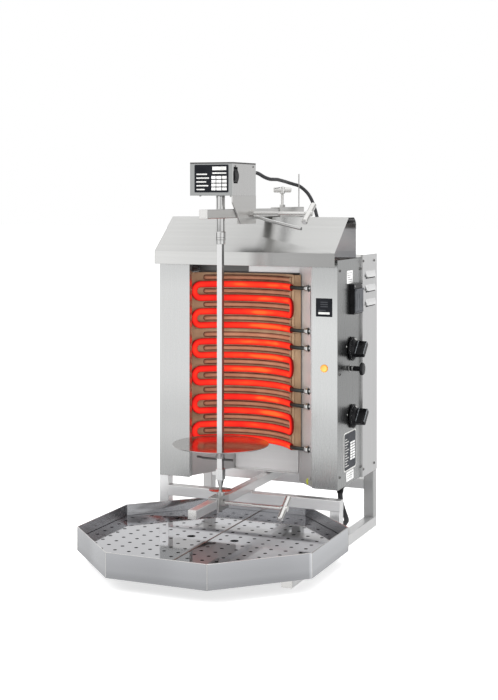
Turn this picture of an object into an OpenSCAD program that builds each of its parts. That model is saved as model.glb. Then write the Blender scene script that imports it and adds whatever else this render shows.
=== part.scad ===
// Vertical spit grill: a square-tube stand, an upright radiant heater under a slanted hood,
// a geared motor that turns the spit from above, and an eight-sided drip tray below.
// Millimetres. +X is the control side, -Y the cook's side, +Z up. The stand rests on z = 0,
// and x = 0, y = 0 is the middle of the footprint.

/* [Stand] */
// Outer size of the stand's square tube
tube = 25; // [22:1:28]
// Wall of every square tube
tube_wall = 1.5; // [1:0.5:2]
// Overall width over the two base rails
stand_w = 460; // [450:5:470]
// Length of a base rail
rail_l = 574; // [570:1:576]
// Underside of the two cross bars
crossbar_z = 93; // [90:1:95]
// Rounding of a tube's long edges
corner_r = 2; // [1:0.5:2]
// Outer size of the two arms' square tube
arm = 20; // [18:1:20]

/* [Casing] */
// Width over the two front boxes
casing_w = 453; // [446:1:455]
// Bottom edge of the casing
casing_z0 = 143; // [143:1:146]
// Top edge of the casing
casing_z1 = 667; // [665:1:669]
// Sheet steel thickness
sheet = 1.2; // [1:0.1:1.5]
// Height of the hood's top
hood_z = 763; // [758:1:764]

/* [Heater] */
// Radius of the arc that the heating tubes follow
heater_r = 165; // [163:1:167]
// Height of a tube's oval section
element_h = 15; // [12:1:16]
// Depth of a tube's oval section
element_d = 9; // [8:1:9]
// Height between two passes of a tube
pass_pitch = 33; // [32:0.5:34]

/* [Spit] */
// Side of the square spit
spit_w = 12; // [10:1:12]
// Radius of the meat disc
disc_r = 108; // [100:1:118]
// Height of the meat disc's top
disc_z = 258; // [256:1:262]

/* [Tray] */
// Width of the tray across its flats
tray_w = 554; // [550:2:556]
// Height of the tray's wall
tray_h = 53; // [50:1:54]
// Distance between the tray's drain holes
hole_pitch = 33.5; // [33:0.5:34]
// Diameter of a drain hole
hole_d = 8.5; // [5:0.5:9]

/* [Hidden] */
$fn = 48;

// Clearances between pieces that move past each other
gap = 0.4;
run = 0.05;

// Stand
rail_x = stand_w / 2 - tube / 2;
back_y = 372;
rail_y0 = back_y - rail_l;
cap_t = 2;
portal_y = 97;
post_y = back_y - tube;
crossbar_top = crossbar_z + tube;
arm_pad = 3;
glide_h = 3;
glide_w = 12;
lower_arm_z = crossbar_top + arm_pad;
arm_y0 = -201;
upper_arm_x = 26.5;
upper_arm_z = 763.5;
sleeve_y0 = 210;
sleeve_screw_y = 255;
sleeve_top = upper_arm_z + arm / 2 + tube / 2;

// Casing
front_y = 92.5;
side_x = casing_w / 2;
left_open_x = -147;
right_open_x = 164;
box_back_y = 258;
panel_x = stand_w / 2 + 0.2;
rear_front_y = 258.5;
hood_front_y = 67;
hood_lip_z0 = 651;
hood_lip_z1 = 682.5;
hood_top_y = 166;
hood_back_y = 220.5;
hood_w = 456;
reflector_y = 235;
pan_x0 = -88;
pan_x1 = 78;

// Heater
heater_x = -30;
heater_y = 25;
tile_face_r = heater_r + 6.6;
tile_back_r = tile_face_r + 12;
tile_reach = 52;
tile_zs = [[491.5, 628], [361, 491], [219, 360.5]];
element_tops = [599.5, 460.8, 326.6];
tile_margin = [[104, 130], [121, 134.5], [111, 144], [106, 145]];
bend_left = -43;
bend_right = 48;
cold_angle = 53;
nut_x = 147;
nut_y = 111;

// Spit
spit_y = -53;
spit_top = 736;
spit_foot = 178;
spit_tip_z = 148;
pin_z = 223;
collar_z0 = 705;
collar_z1 = 733;
shaft_r = 10;

// Motor
motor_x0 = -66;
motor_x1 = 40;
motor_y0 = -73.5;
motor_y1 = 56;
motor_z0 = 813.6;
motor_z1 = 888;
bracket_gap = 0.4;
cheek = 3;
cheek_x1 = upper_arm_x + arm / 2 + bracket_gap + cheek;
clamp_y = 31;
clamp_z = 773.5;

// Lower carriage
saddle_y0 = -92;
saddle_y1 = -36;
saddle_x = arm / 2 + bracket_gap + 2.5;
saddle_top = lower_arm_z + arm + bracket_gap + 3;
lower_clamp_y = -70;
lower_clamp_z = 131;

// Tray
tray_y = -95;
tray_z = tube + glide_h + gap;
insert_z = 54;
finger_d = 19;

// Controls, on the outer side of the control box
knob_ys = [190, 195];
knob_zs = [455.5, 297];
push_y = 177;
push_z = 411;
socket_y0 = 180.5;
socket_y1 = 243;
socket_z0 = 536;
socket_z1 = 607.5;
socket_d = 12.6;
flap_z = 596;
lamp_x = 194;
lamp_z = 419;

// Mains lead: from the gland, behind the tray, round its coil and on to the plug
cord_d = 12;
coil_x = 60;
coil_y = 272;
coil_r = 66;
coil_turns_w = 2;
coil_layers = 2;
cord_route = [
  [205.5, 170, 120], [205.8, 171.2, 108], [207, 175.5, 93], [208.6, 183.5, 77.5],
  [209, 195, 63.5], [207.2, 209, 51.5], [202.7, 223, 42.5], [196, 236.5, 35.5],
  [188.5, 249, 28], [179.5, 260.5, 20.3], [169.5, 271, 13.6], [159, 280, 9],
  [147.5, 289, 6.6], [135, 300, 6.2]
];
tail_route = [
  [-14, 257.5, 18.3], [-19.5, 244, 19], [-28.5, 232.5, 20.8], [-40, 223.5, 23.3],
  [-53.5, 218, 25.6], [-68, 216, 27]
];
plug_x = -170;
plug_y = 216;
plug_r = 27;

// Motor lead: from the back of the motor, round the holder rod and into the top plate
lead_d = 8.5;
lead_route = [
  [30, 70, 867], [31, 88, 866], [31, 106, 862.5], [31, 126, 858], [31, 146, 855],
  [31, 166, 853], [30, 186, 853], [28, 206, 853], [26, 226, 853], [23, 246, 852],
  [20, 266, 851], [17, 286, 850], [14, 306, 849], [12, 326, 847.5], [12, 345, 845.5],
  [15, 361, 843], [24, 375.5, 839], [35, 382, 830], [47, 382, 818], [58, 378, 802],
  [68, 370, 784], [77, 361, 765], [85, 352, 746], [92, 343, 727], [98, 335, 708],
  [102, 329, 690]
];
rod_x = 26.5;
rod_y = 368.5;

// Bent bars: the motor's pull handle and the pin under the disc, bent only where it is gripped
handle_route = [[40, 54, 765], [52, 54, 763], [66, 52, 759], [82, 49, 755], [121, 42, 747], [160, 35, 739]];
pin_route = [
  [-54, spit_y - 6, pin_z + 3], [-47, spit_y - 4, pin_z + 2], [-38, spit_y, pin_z],
  [14, spit_y, pin_z], [30, spit_y, pin_z]
];

// ---- Shared shapes ----

// A square with rounded corners
module round_square(size, r) {
  inner = size - 2 * r;
  square([inner, size], center = true);
  square([size, inner], center = true);
  for (x = [-1, 1])
    for (y = [-1, 1])
      translate([x, y] * inner / 2) circle(r = r);
}

// A square tube along Z from the origin, open at both ends
module tube_z(size, length) {
  linear_extrude(length)
    difference() {
      round_square(size, corner_r);
      square(size - 2 * tube_wall, center = true);
    }
}

module tube_x(size, length) {
  rotate([0, 90, 0]) tube_z(size, length);
}

module tube_y(size, length) {
  rotate([-90, 0, 0]) tube_z(size, length);
}

// A box from its lowest to its highest corner
module block(low, high) {
  translate(low) cube(high - low);
}

// A round bar from one point to another
module bar(from, to, d) {
  run_v = to - from;
  flat = norm([run_v[0], run_v[1]]);
  translate(from)
    rotate([0, atan2(flat, run_v[2]), atan2(run_v[1], run_v[0])])
      cylinder(h = norm(run_v), d = d);
}

module pin_x(length, d) {
  rotate([0, 90, 0]) cylinder(h = length, d = d);
}

module pin_y(length, d) {
  rotate([-90, 0, 0]) cylinder(h = length, d = d);
}

module nut_x_axis(across, length) {
  rotate([0, 90, 0]) cylinder(h = length, d = across / cos(30), $fn = 6);
}

// A sheet bent along a plan outline and extruded upwards
module folded_sheet(points, thickness, z0, z1) {
  translate([0, 0, z0])
    linear_extrude(z1 - z0)
      for (i = [0 : len(points) - 2]) strip(points[i], points[i + 1], thickness);
}

module strip(a, b, thickness) {
  along = (b - a) / norm(b - a);
  side = [-along[1], along[0]] * thickness;
  polygon([a, b, b + side, a + side]);
}

// An eight-sided outline with flats on all four main sides
module octagon(across) {
  rotate(22.5) circle(d = across / cos(22.5), $fn = 8);
}

function unit(v) = v / norm(v);

function along(route, i) =
  unit(route[min(i + 1, len(route) - 1)] - route[max(i - 1, 0)]);

function side_of(dir) =
  unit(cross(dir, abs(dir[2]) > 0.9 ? [0, 1, 0] : [0, 0, 1]));

// Frames carried along the route, so that the tube doesn't twist
function carried(route, i) =
  i == 0
    ? side_of(along(route, 0))
    : let (dir = along(route, i), last = carried(route, i - 1))
      unit(last - (last * dir) * dir);

function ring(route, i, d, sides) =
  let (dir = along(route, i), u = carried(route, i), v = cross(dir, u))
  [for (k = [0 : sides - 1])
    route[i] + d / 2 * (u * cos(360 * k / sides) + v * sin(360 * k / sides))];

// A closed tube through the points of a route
module swept(route, d, sides) {
  rings = len(route);
  points = [for (i = [0 : rings - 1]) each ring(route, i, d, sides)];
  start = [[for (k = [0 : sides - 1]) k]];
  finish = [[for (k = [0 : sides - 1]) rings * sides - 1 - k]];
  walls = [
    for (i = [0 : rings - 2])
      for (k = [0 : sides - 1])
        let (n = (k + 1) % sides, a = i * sides)
        each [[a + k, a + sides + k, a + n], [a + n, a + sides + k, a + sides + n]]
  ];
  polyhedron(points, concat(start, walls, finish), convexity = 10);
}

// ---- Stand ----

// The two rails that the grill stands on, each with a glide strip for the tray
module base_rails() {
  color("silver")
    for (side = [-1, 1])
      translate([side * rail_x, 0, 0]) {
        translate([0, rail_y0 + cap_t, tube / 2]) tube_y(tube, rail_l - 2 * cap_t);
        block([-glide_w / 2, rail_y0 + 30, tube - 0.01], [glide_w / 2, portal_y - 20, tube + glide_h]);
      }
}

// Portal legs under the casing's front and the tall posts behind it
module uprights() {
  color("silver") {
    for (side = [-1, 1])
      translate([side * rail_x, post_y + tube / 2, tube]) tube_z(tube, casing_z1 - tube);
    translate([-rail_x, portal_y + tube / 2, tube]) tube_z(tube, casing_z0 - sheet - tube);
    translate([rail_x, portal_y + tube / 2, tube]) tube_z(tube, crossbar_z - tube);
  }
}

// Front and rear cross bars, each with the pad that carries the lower arm; the front bar
// runs over the short right-hand leg and is closed there
module crossbars() {
  inner = stand_w - 2 * tube;
  color("silver") {
    for (y = [portal_y, post_y])
      translate([0, y + tube / 2, crossbar_z + tube / 2]) {
        translate([-inner / 2, 0, 0]) tube_x(tube, y == portal_y ? inner + tube : inner);
        block([-arm / 2, -tube / 2, tube / 2 - 0.01], [arm / 2, tube / 2, tube / 2 + arm_pad]);
      }
    translate([stand_w / 2 - tube_wall, portal_y + tube / 2, crossbar_z + tube / 2])
      rotate([0, 90, 0]) linear_extrude(tube_wall) round_square(tube, corner_r);
  }
}

// The mast behind the casing that holds up the sleeve
module support_mast() {
  color("silver")
    translate([upper_arm_x, post_y + tube / 2, crossbar_top])
      tube_z(tube, sleeve_top - tube - crossbar_top);
}

module lower_arm() {
  color("silver")
    translate([0, arm_y0 + cap_t, lower_arm_z + arm / 2])
      tube_y(arm, back_y - arm_y0 - 2 * cap_t);
}

module upper_arm() {
  color("silver")
    translate([upper_arm_x, arm_y0 + cap_t, upper_arm_z + arm / 2])
      tube_y(arm, back_y - arm_y0 - 2 * cap_t);
}

// The sleeve that grips the upper arm, its nut, and the rod that holds the motor lead
module arm_sleeve() {
  nut_h = 6;
  rod_top = 869;
  wall = (tube - arm - 0.2) / 2;
  color("silver") {
    difference() {
      translate([upper_arm_x, sleeve_y0, upper_arm_z + arm / 2])
        rotate([-90, 0, 0])
          linear_extrude(back_y - sleeve_y0)
            difference() {
              round_square(tube, corner_r);
              square(tube - 2 * wall, center = true);
            }
      translate([upper_arm_x, sleeve_screw_y, sleeve_top - 5]) cylinder(h = 20, r = 3.5 + run);
    }
    translate([upper_arm_x, sleeve_screw_y, sleeve_top])
      difference() {
        cylinder(h = nut_h, d = 13 / cos(30), $fn = 6);
        translate([0, 0, -1]) cylinder(h = nut_h + 2, r = 3.5 + run);
      }
    translate([rod_x, rod_y, sleeve_top - 0.01]) cylinder(h = rod_top - sleeve_top, d = 3);
  }
}

// Pressed caps that close the open ends of the rails and arms
module end_caps() {
  color("gainsboro") {
    for (side = [-1, 1])
      for (y = [rail_y0, back_y - cap_t])
        end_cap(side * rail_x, y, 0, tube);
    for (y = [arm_y0, back_y - cap_t]) {
      end_cap(0, y, lower_arm_z, arm);
      end_cap(upper_arm_x, y, upper_arm_z, arm);
    }
  }
}

module end_cap(x, y, z, size) {
  block([x - size / 2, y, z], [x + size / 2, y + cap_t, z + size]);
}

// ---- Casing ----

// Left front box: the outer side, the front panel and the edge that turns in
module left_casing() {
  edge = [[left_open_x - 10, front_y + 14], [left_open_x, front_y + 14],
          [left_open_x, front_y], [-side_x, front_y], [-side_x, box_back_y]];
  color("silver") folded_sheet(edge, -sheet, casing_z0, hood_lip_z0);
}

// Control box: front panel with the lamp's hole, outer side with the switches' holes
module control_casing() {
  edge = [[right_open_x, front_y + 10], [right_open_x, front_y],
          [side_x, front_y], [side_x, box_back_y]];
  color("silver")
    difference() {
      folded_sheet(edge, sheet, casing_z0, casing_z1 - 1);
      translate([lamp_x, front_y - 5, lamp_z]) pin_y(10, 14);
      for (i = [0, 1]) translate([side_x - 5, knob_ys[i], knob_zs[i]]) pin_x(10, 10);
      translate([side_x - 5, push_y, push_z]) pin_x(10, 16);
    }
}

// Roof behind the hood, with the hole for the motor lead and a notch round the mast
module top_plate() {
  lead = lead_route[len(lead_route) - 1];
  notch = tube / 2 + 0.3;
  color("silver")
    difference() {
      block([-stand_w / 2, hood_back_y + 0.2, casing_z1], [stand_w / 2, back_y, casing_z1 + sheet]);
      translate([lead[0], lead[1], casing_z1 - 2]) cylinder(h = 6, d = 14);
      block([upper_arm_x - notch, back_y - tube - 0.3, casing_z1 - 1],
            [upper_arm_x + notch, back_y + 1, casing_z1 + 5]);
    }
  color("dimgray")
    translate([lead[0], lead[1], casing_z1 + sheet - 0.01])
      difference() {
        cylinder(h = lead[2] - casing_z1 - sheet, d1 = 18, d2 = lead_d + 3);
        translate([0, 0, -1]) cylinder(h = 40, d = lead_d + 0.6);
      }
}

module bottom_plate() {
  color("silver")
    difference() {
      union() {
        block([right_open_x + 2, front_y + 2, casing_z0 - sheet], [side_x, post_y - 1, casing_z0]);
        block([-side_x, front_y + 2, casing_z0 - sheet], [left_open_x - 2, post_y - 1, casing_z0]);
        block([left_open_x - 3, reflector_y + 4, casing_z0 - sheet],
              [right_open_x + 3, post_y - 1, casing_z0]);
      }
      translate([cord_route[0][0], cord_route[0][1], casing_z0 - 5]) cylinder(h = 10, d = 16);
    }
}

// Rear wall between the posts
module back_panel() {
  color("silver")
    block([-stand_w / 2, post_y - 1.2, casing_z0], [stand_w / 2, post_y - 0.2, casing_z1]);
}

// Rear side covers with three pressed louvers each
module side_panels() {
  flange = 4.5;
  louver_ys = [280, 358];
  louver_tops = [631.5, 598.5, 563.5];
  color("lightgray")
    for (side = [-1, 1])
      difference() {
        union() {
          block([min(side * panel_x, side * (panel_x + sheet)), rear_front_y, casing_z0 - 2],
                [max(side * panel_x, side * (panel_x + sheet)), back_y, casing_z1 + 5]);
          translate([side * (panel_x + sheet / 2 - flange / 2), rear_front_y + sheet / 2,
                     (casing_z0 + casing_z1) / 2])
            cube([flange, sheet, casing_z1 - casing_z0 - 2], center = true);
          for (top = louver_tops)
            translate([side * (panel_x + sheet - 0.01), (louver_ys[0] + louver_ys[1]) / 2, top])
              louver(side, louver_ys[1] - louver_ys[0]);
        }
        for (top = louver_tops)
          translate([side * (panel_x - 1), louver_ys[0] + 4, top - 13])
            scale([side, 1, 1]) cube([sheet + 2, louver_ys[1] - louver_ys[0] - 8, 7]);
      }
}

// A wedge-shaped hood that opens downwards, with its top edge at the origin
module louver(side, length) {
  depth = 4;
  height = 14;
  translate([0, length / 2, 0])
    rotate([90, 0, 0])
      linear_extrude(length)
        polygon([[0, 0], [side * depth, -height], [side * (depth - 1), -height],
                 [0, -3]]);
}

// Bright pan under the heater: its back wall and floor lip
module lower_reflector() {
  z0 = casing_z0 + 0.5;
  lip = 16;
  color("whitesmoke") {
    block([pan_x0, reflector_y, z0], [pan_x1, reflector_y + sheet, tile_zs[2][0] - 0.5]);
    block([pan_x0, reflector_y - lip, z0], [pan_x1, reflector_y + 0.01, z0 + sheet]);
  }
}

// Splayed side walls of the cooking space; the right one has holes for the cold ends
module side_reflectors() {
  z0 = casing_z0 + 0.5;
  under_tiles = tile_zs[2][0] - 0.5;
  hole = 16;
  corner = [124, 136];
  inner_edge = [112, 146];
  color("lightgray") {
    folded_sheet([[left_open_x + 0.3, front_y + 15], [pan_x0 - 1, reflector_y - 1]], sheet, z0,
                 under_tiles);
    folded_sheet([inner_edge + [1, 2], [pan_x1 + 1, reflector_y - 1]], -sheet, z0, under_tiles);
    difference() {
      folded_sheet([[right_open_x - 1.5, front_y + 4], corner, inner_edge], -sheet, z0,
                   hood_lip_z0 + 6);
      for (top = element_tops)
        for (z = [top, top - 3 * pass_pitch])
          translate([nut_x - 20, nut_y, z]) pin_x(40, hole);
    }
  }
}

// Curved steel back that the tiles are hung on
module heater_back() {
  color("dimgray")
    translate([heater_x, heater_y, tile_zs[2][0]])
      arc_wall(tile_back_r + 0.2, tile_back_r + 2.2, -tile_reach, tile_reach - 7,
               tile_zs[0][1] - tile_zs[2][0]);
}

// Upright wall along an arc about Z: angles count from +Y, positive towards +X
module arc_wall(r0, r1, from, to, height) {
  rotate([0, 0, 90 - to])
    rotate_extrude(angle = to - from)
      translate([r0, 0]) square([r1 - r0, height]);
}

// Slanted hood, open at both ends
module hood() {
  outline = [
    [hood_front_y, hood_lip_z0], [hood_front_y, hood_lip_z1], [hood_top_y, hood_z],
    [hood_back_y - 16, hood_z], [hood_back_y - 10.8, hood_z - 2.7],
    [hood_back_y - 4, hood_z - 8], [hood_back_y, hood_z - 15], [hood_back_y, casing_z1 + 0.5]
  ];
  color("silver")
    translate([-hood_w / 2, 0, 0])
      rotate([90, 0, 90])
        linear_extrude(hood_w)
          for (i = [0 : len(outline) - 2]) strip(outline[i], outline[i + 1], -sheet);
}

// Pan-head screws of the covers
module casing_screws() {
  front_screws = [[108, 641.5], [252, 640], [106, 405], [106, 170], [255, 167]];
  rear_screws = [[263, 657.6], [347, 656], [263, 160], [347, 160]];
  color("gray")
    for (side = [-1, 1]) {
      for (p = front_screws) screw_head(side, side_x, p);
      for (p = rear_screws) screw_head(side, panel_x + sheet, p);
    }
}

module screw_head(side, x, place) {
  translate([side * (x + 0.02), place[0], place[1]])
    rotate([0, side * 90, 0]) {
      cylinder(h = 1.6, d = 6.5);
      translate([0, 0, 1.59]) cylinder(h = 0.8, d = 4);
    }
}

// ---- Heater ----

// One fireclay tile: an arc with a flat margin on the right and ribs between the passes
module tile(z0, z1, first_pass) {
  rib_h = 9;
  color("tan")
    union() {
      translate([heater_x, heater_y, z0]) {
        arc_wall(tile_face_r, tile_back_r, -tile_reach, tile_reach, z1 - z0);
        for (i = [-1 : 4]) {
          rib_z = first_pass - (i + 0.5) * pass_pitch;
          if (rib_z - rib_h / 2 > z0 && rib_z + rib_h / 2 < z1)
            translate([0, 0, rib_z - z0 - rib_h / 2])
              arc_wall(heater_r + 0.5, tile_face_r + 0.5, bend_left, bend_right - 1, rib_h);
        }
      }
      translate([0, 0, z0])
        linear_extrude(z1 - z0)
          polygon(tile_margin);
    }
}

module upper_tile() {
  tile(tile_zs[0][0], tile_zs[0][1], element_tops[0]);
}

module middle_tile() {
  tile(tile_zs[1][0], tile_zs[1][1], element_tops[1]);
}

module lower_tile() {
  tile(tile_zs[2][0], tile_zs[2][1], element_tops[2]);
}

// Oval section of a heating tube, flattened against the tile
module element_section(high, deep) {
  straight = (high - deep) / 2;
  square([deep, high - deep], center = true);
  for (end = [-1, 1]) translate([0, end * straight]) circle(d = deep);
}

// One pass of a tube along the heater's arc
module element_pass(z, from, to) {
  translate([heater_x, heater_y, z])
    rotate([0, 0, 90 - to])
      rotate_extrude(angle = to - from)
        translate([heater_r, 0]) element_section(element_h, element_d);
}

// Half turn between a pass and the one below it; side is -1 at the left end
module element_bend(z, angle, side) {
  swell = 0.6;
  translate([heater_x, heater_y, z - pass_pitch / 2])
    rotate([0, 0, -angle])
      translate([0, heater_r, 0])
        rotate([90, 0, 0])
          rotate([0, 0, side > 0 ? -90 : 90])
            rotate_extrude(angle = 180)
              translate([pass_pitch / 2, 0])
                rotate(90) element_section(element_h + swell, element_d + swell);
}

module cold_end(z) {
  start = [heater_x + heater_r * sin(cold_angle), heater_y + heater_r * cos(cold_angle), z];
  elbow = [nut_x - 11, nut_y, z];
  color("dimgray") {
    bar(start - [2, -1.6, 0], elbow, 8);
    for (p = [start, elbow]) translate(p) sphere(d = 8.8);
    translate(elbow) pin_x(nut_x + 6 - elbow[0], 8);
  }
}

// A heating tube in four passes, with its two cold ends on the right
module element(top) {
  tuck = 0.5;
  color("orangered")
    for (i = [0 : 3])
      element_pass(top - i * pass_pitch, bend_left - tuck,
                   i == 0 || i == 3 ? cold_angle : bend_right + tuck);
  color("orangered") {
    element_bend(top, bend_left, -1);
    element_bend(top - pass_pitch, bend_right, 1);
    element_bend(top - 2 * pass_pitch, bend_left, -1);
  }
  cold_end(top);
  cold_end(top - 3 * pass_pitch);
}

module upper_element() {
  element(element_tops[0]);
}

module middle_element() {
  element(element_tops[1]);
}

module lower_element() {
  element(element_tops[2]);
}

// The nuts that hold the cold ends in the right-hand side wall
module element_nuts() {
  color("silver")
    for (top = element_tops)
      for (z = [top, top - 3 * pass_pitch])
        translate([nut_x - 4, nut_y, z])
          difference() {
            nut_x_axis(13, 5);
            translate([-1, 0, 0]) pin_x(7, 8.7);
          }
}

// ---- Controls ----

// A control knob: skirt, blade grip and pointer, on its shaft along X
module knob(i) {
  skirt_d = 56;
  skirt_h = 12;
  grip_h = 34;
  grip_tilt = -45;
  translate([side_x + 1.5, knob_ys[i], knob_zs[i]])
    difference() {
      union() {
        pin_x(3, skirt_d);
        translate([2.99, 0, 0])
          rotate([0, 90, 0]) cylinder(h = skirt_h - 3, d1 = skirt_d - 4, d2 = 38);
        translate([skirt_h - 0.01, 0, 0])
          intersection() {
            rotate([grip_tilt, 0, 0]) block([0, -7, -21], [grip_h - skirt_h, 7, 21]);
            pin_x(grip_h, 42);
          }
      }
      translate([-1, 0, 0]) pin_x(15, 6 + 2 * run);
    }
}

module upper_knob() {
  color("black") knob(0);
}

module lower_knob() {
  color("black") knob(1);
}

// Mushroom-headed pull switch
module push_knob() {
  stem_h = 25;
  color("black")
    translate([side_x + 1, push_y, push_z]) {
      pin_x(stem_h, 12);
      translate([stem_h - 0.01, 0, 0]) pin_x(9, 30);
      translate([-22, 0, 0]) pin_x(22.01, 8);
    }
}

// Bodies of the two power switches and the pull switch, behind the outer side
module switch_bodies() {
  depth = 38;
  color("dimgray") {
    for (i = [0, 1])
      translate([side_x - sheet - depth, knob_ys[i], knob_zs[i]]) {
        block([0, -22, -22], [depth, 22, 22]);
        pin_x(depth + 13, 6);
      }
    translate([side_x - sheet, push_y, push_z])
      difference() {
        union() {
          block([-34, -15, -15], [0, 15, 15]);
          pin_x(sheet + 0.8, 15.5);
        }
        translate([-31, 0, 0]) pin_x(40, 12 + 2 * gap);
      }
  }
}

// Flush socket under the flap
module socket_box() {
  rim = 4;
  color("black")
    translate([side_x + 0.02, 0, 0])
      difference() {
        block([0, socket_y0, socket_z0], [socket_d - 2.6, socket_y1, socket_z1]);
        block([4, socket_y0 + rim + 6, socket_z0 + 14],
              [socket_d, socket_y1 - rim - 6, socket_z1 - 20]);
      }
}

// Spring flap over the socket, hinged along its top edge
module socket_flap() {
  x0 = side_x + socket_d - 2.2;
  color("dimgray") {
    block([x0, socket_y0 + 3, socket_z0 + 3], [x0 + 2.6, socket_y1 - 3, flap_z - 3]);
    translate([x0 + 2.6, socket_y0 + 3, flap_z - 3]) pin_y(socket_y1 - socket_y0 - 6, 5);
  }
}

module signal_lamp() {
  color("orange")
    translate([lamp_x, front_y - 6, lamp_z]) {
      pin_y(25, 13.6);
      translate([0, 3, 0]) pin_y(3, 18);
    }
}

// Blank plates: front badge, rating plate, and the two labels on the outer side
module info_plates() {
  color("black") {
    block([174, front_y - 0.8, 537], [213.5, front_y - 0.02, 579]);
    block([side_x + 0.02, 135, 174.5], [side_x + 0.8, 223, 264.6]);
  }
  color("white") {
    block([side_x + 0.02, 157, 609], [side_x + 0.5, 199, 639]);
    block([side_x + 0.02, 152, 150], [side_x + 0.5, 205, 172]);
  }
}

// Terminal block inside the control box
module terminal_block() {
  poles = 5;
  pitch = 12;
  place = [184, 192, casing_z0 + 0.02];
  width = 22;
  height = 18;
  color("ivory")
    for (i = [0 : poles - 1])
      translate(place + [0, i * pitch, 0])
        difference() {
          cube([width, pitch - 0.5, height]);
          translate([width / 2, pitch / 2, height / 2]) cylinder(h = height, d = 5);
        }
}

// ---- Mains lead ----

module cord_gland() {
  p = cord_route[0];
  height = casing_z0 - sheet - p[2];
  color("black")
    translate([p[0], p[1], p[2]])
      difference() {
        union() {
          translate([0, 0, height - 7]) cylinder(h = 7 - 0.02, d = 24, $fn = 6);
          cylinder(h = height, d1 = cord_d + 3, d2 = 20);
          cylinder(h = height + 8, d = 15);
        }
        translate([0, 0, -1]) cylinder(h = 60, d = cord_d + 0.6);
      }
}

// The two uncoiled stretches: gland to coil, and coil to plug
module mains_cord() {
  color("black") {
    swept(cord_route, cord_d, 12);
    swept(tail_route, cord_d, 12);
  }
}

module mains_coil() {
  half = coil_turns_w * cord_d / 2;
  color("black")
    translate([coil_x, coil_y, 0.2])
      rotate_extrude()
        translate([coil_r - half, 0]) square([2 * half, coil_layers * cord_d]);
}

// Round industrial plug lying behind the tray
module mains_plug() {
  body_l = 80;
  collar_l = 32;
  boot_l = 22;
  pin_l = 26;
  color("red")
    translate([plug_x, plug_y, plug_r]) {
      pin_x(body_l, 2 * plug_r - 6);
      translate([-collar_l + 0.01, 0, 0])
        difference() {
          pin_x(collar_l, 2 * plug_r);
          translate([-1, 0, 0]) pin_x(collar_l - 3, 2 * plug_r - 5);
        }
      translate([body_l - 0.01, 0, 0])
        rotate([0, 90, 0]) cylinder(h = boot_l, d1 = 26, d2 = cord_d + 3);
    }
  color("silver")
    translate([plug_x, plug_y, plug_r])
      for (k = [0 : 4])
        rotate([72 * k, 0, 0])
          translate([-pin_l, 0, plug_r - 12]) pin_x(pin_l, 5);
}

// ---- Motor ----

module motor_housing() {
  wall = 1.5;
  color("silver")
    difference() {
      block([motor_x0, motor_y0, motor_z0], [motor_x1, motor_y1, motor_z1 - 3]);
      block([motor_x0 + wall, motor_y0 + wall, motor_z0 + wall],
            [motor_x1 - wall, motor_y1 - wall, motor_z1]);
      translate([0, spit_y, motor_z0 - 1]) cylinder(h = 5, r = shaft_r + 2);
      block([motor_x1 - 5, -71, 841], [motor_x1 + 5, -48, 877]);
      translate([30, motor_y1 - 5, 867]) pin_y(10, 12);
    }
  color("dimgray")
    translate([30, motor_y1 - wall, 867])
      difference() {
        rotate([-90, 0, 0]) cylinder(h = lead_route[0][1] - motor_y1 + wall, d1 = 15, d2 = 11.5);
        translate([0, -1, 0]) pin_y(30, lead_d + 0.4);
      }
}

module motor_lid() {
  color("dimgray")
    block([motor_x0, motor_y0, motor_z1 - 2.98], [motor_x1, motor_y1, motor_z1]);
}

// Gearbox over the spit with the motor beside it
module gear_motor() {
  color("gray") {
    difference() {
      block([-26, -71, motor_z0 + 1.6], [26, -20, motor_z0 + 40]);
      translate([0, spit_y, motor_z0]) cylinder(h = 60, r = shaft_r + run);
    }
    translate([0, -20.01, motor_z0 + 24]) pin_y(60, 40);
    translate([0, 40, motor_z0 + 24]) pin_y(8, 20);
  }
}

// Slider that carries the motor on the upper arm: two cheeks, two webs and the clamp nut
module motor_bracket() {
  inner = arm / 2 + bracket_gap;
  bottom = 749.5;
  top = motor_z0 - 0.02;
  short_y0 = 8;
  outline = [[motor_y0 - 2, top], [motor_y0 - 2, 798], [-30, bottom], [57, bottom], [57, top]];
  color("silver")
    difference() {
      union() {
        translate([upper_arm_x + inner, 0, 0])
          rotate([90, 0, 90]) linear_extrude(cheek) polygon(outline);
        block([upper_arm_x - inner - cheek, short_y0, bottom], [upper_arm_x - inner, 57, top]);
        for (web_z = [upper_arm_z + arm + bracket_gap, top - 3])
          block([upper_arm_x - inner - 0.01, web_z > 800 ? -38 : short_y0, web_z],
                [upper_arm_x + inner + 0.01, 57, web_z + 3]);
        translate([cheek_x1 - 0.01, clamp_y, clamp_z]) nut_x_axis(14, 7);
      }
      translate([upper_arm_x + 1, clamp_y, clamp_z]) pin_x(40, 8 + 2 * run);
    }
}

// Two-way rocker, tilted about its middle
module rocker_switch() {
  rocker_y = -59.5;
  rocker_z = 859;
  color("black")
    translate([motor_x1 - 2, rocker_y, rocker_z]) {
      translate([0, -11.1, 0]) pin_y(22.2, 3);
      rotate([0, -6, 0])
        intersection() {
          block([0, -10.5, -16.5], [6, 10.5, 16.5]);
          translate([-40, -11, 0]) pin_y(22, 92);
        }
    }
}

// Bent round handle that the motor is pushed along by
module pull_handle() {
  color("silver") swept(handle_route, 8, 16);
}

module motor_cable() {
  color("dimgray") swept(lead_route, lead_d, 12);
}

// A clamp screw along +X from the origin, with its sliding bar
module clamp_screw(length, bar_l, tilt) {
  pin_x(length, 8);
  translate([length, 0, 0]) {
    translate([-8, 0, 0]) pin_x(16, 13);
    rotate([tilt, 0, 0])
      translate([0, 0, -bar_l / 2]) cylinder(h = bar_l, d = 14);
  }
}

module upper_clamp_screw() {
  start = upper_arm_x + arm / 2 + 0.3;
  color("silver")
    translate([start, clamp_y, clamp_z]) clamp_screw(180 - start, 72, -57);
}

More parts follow.
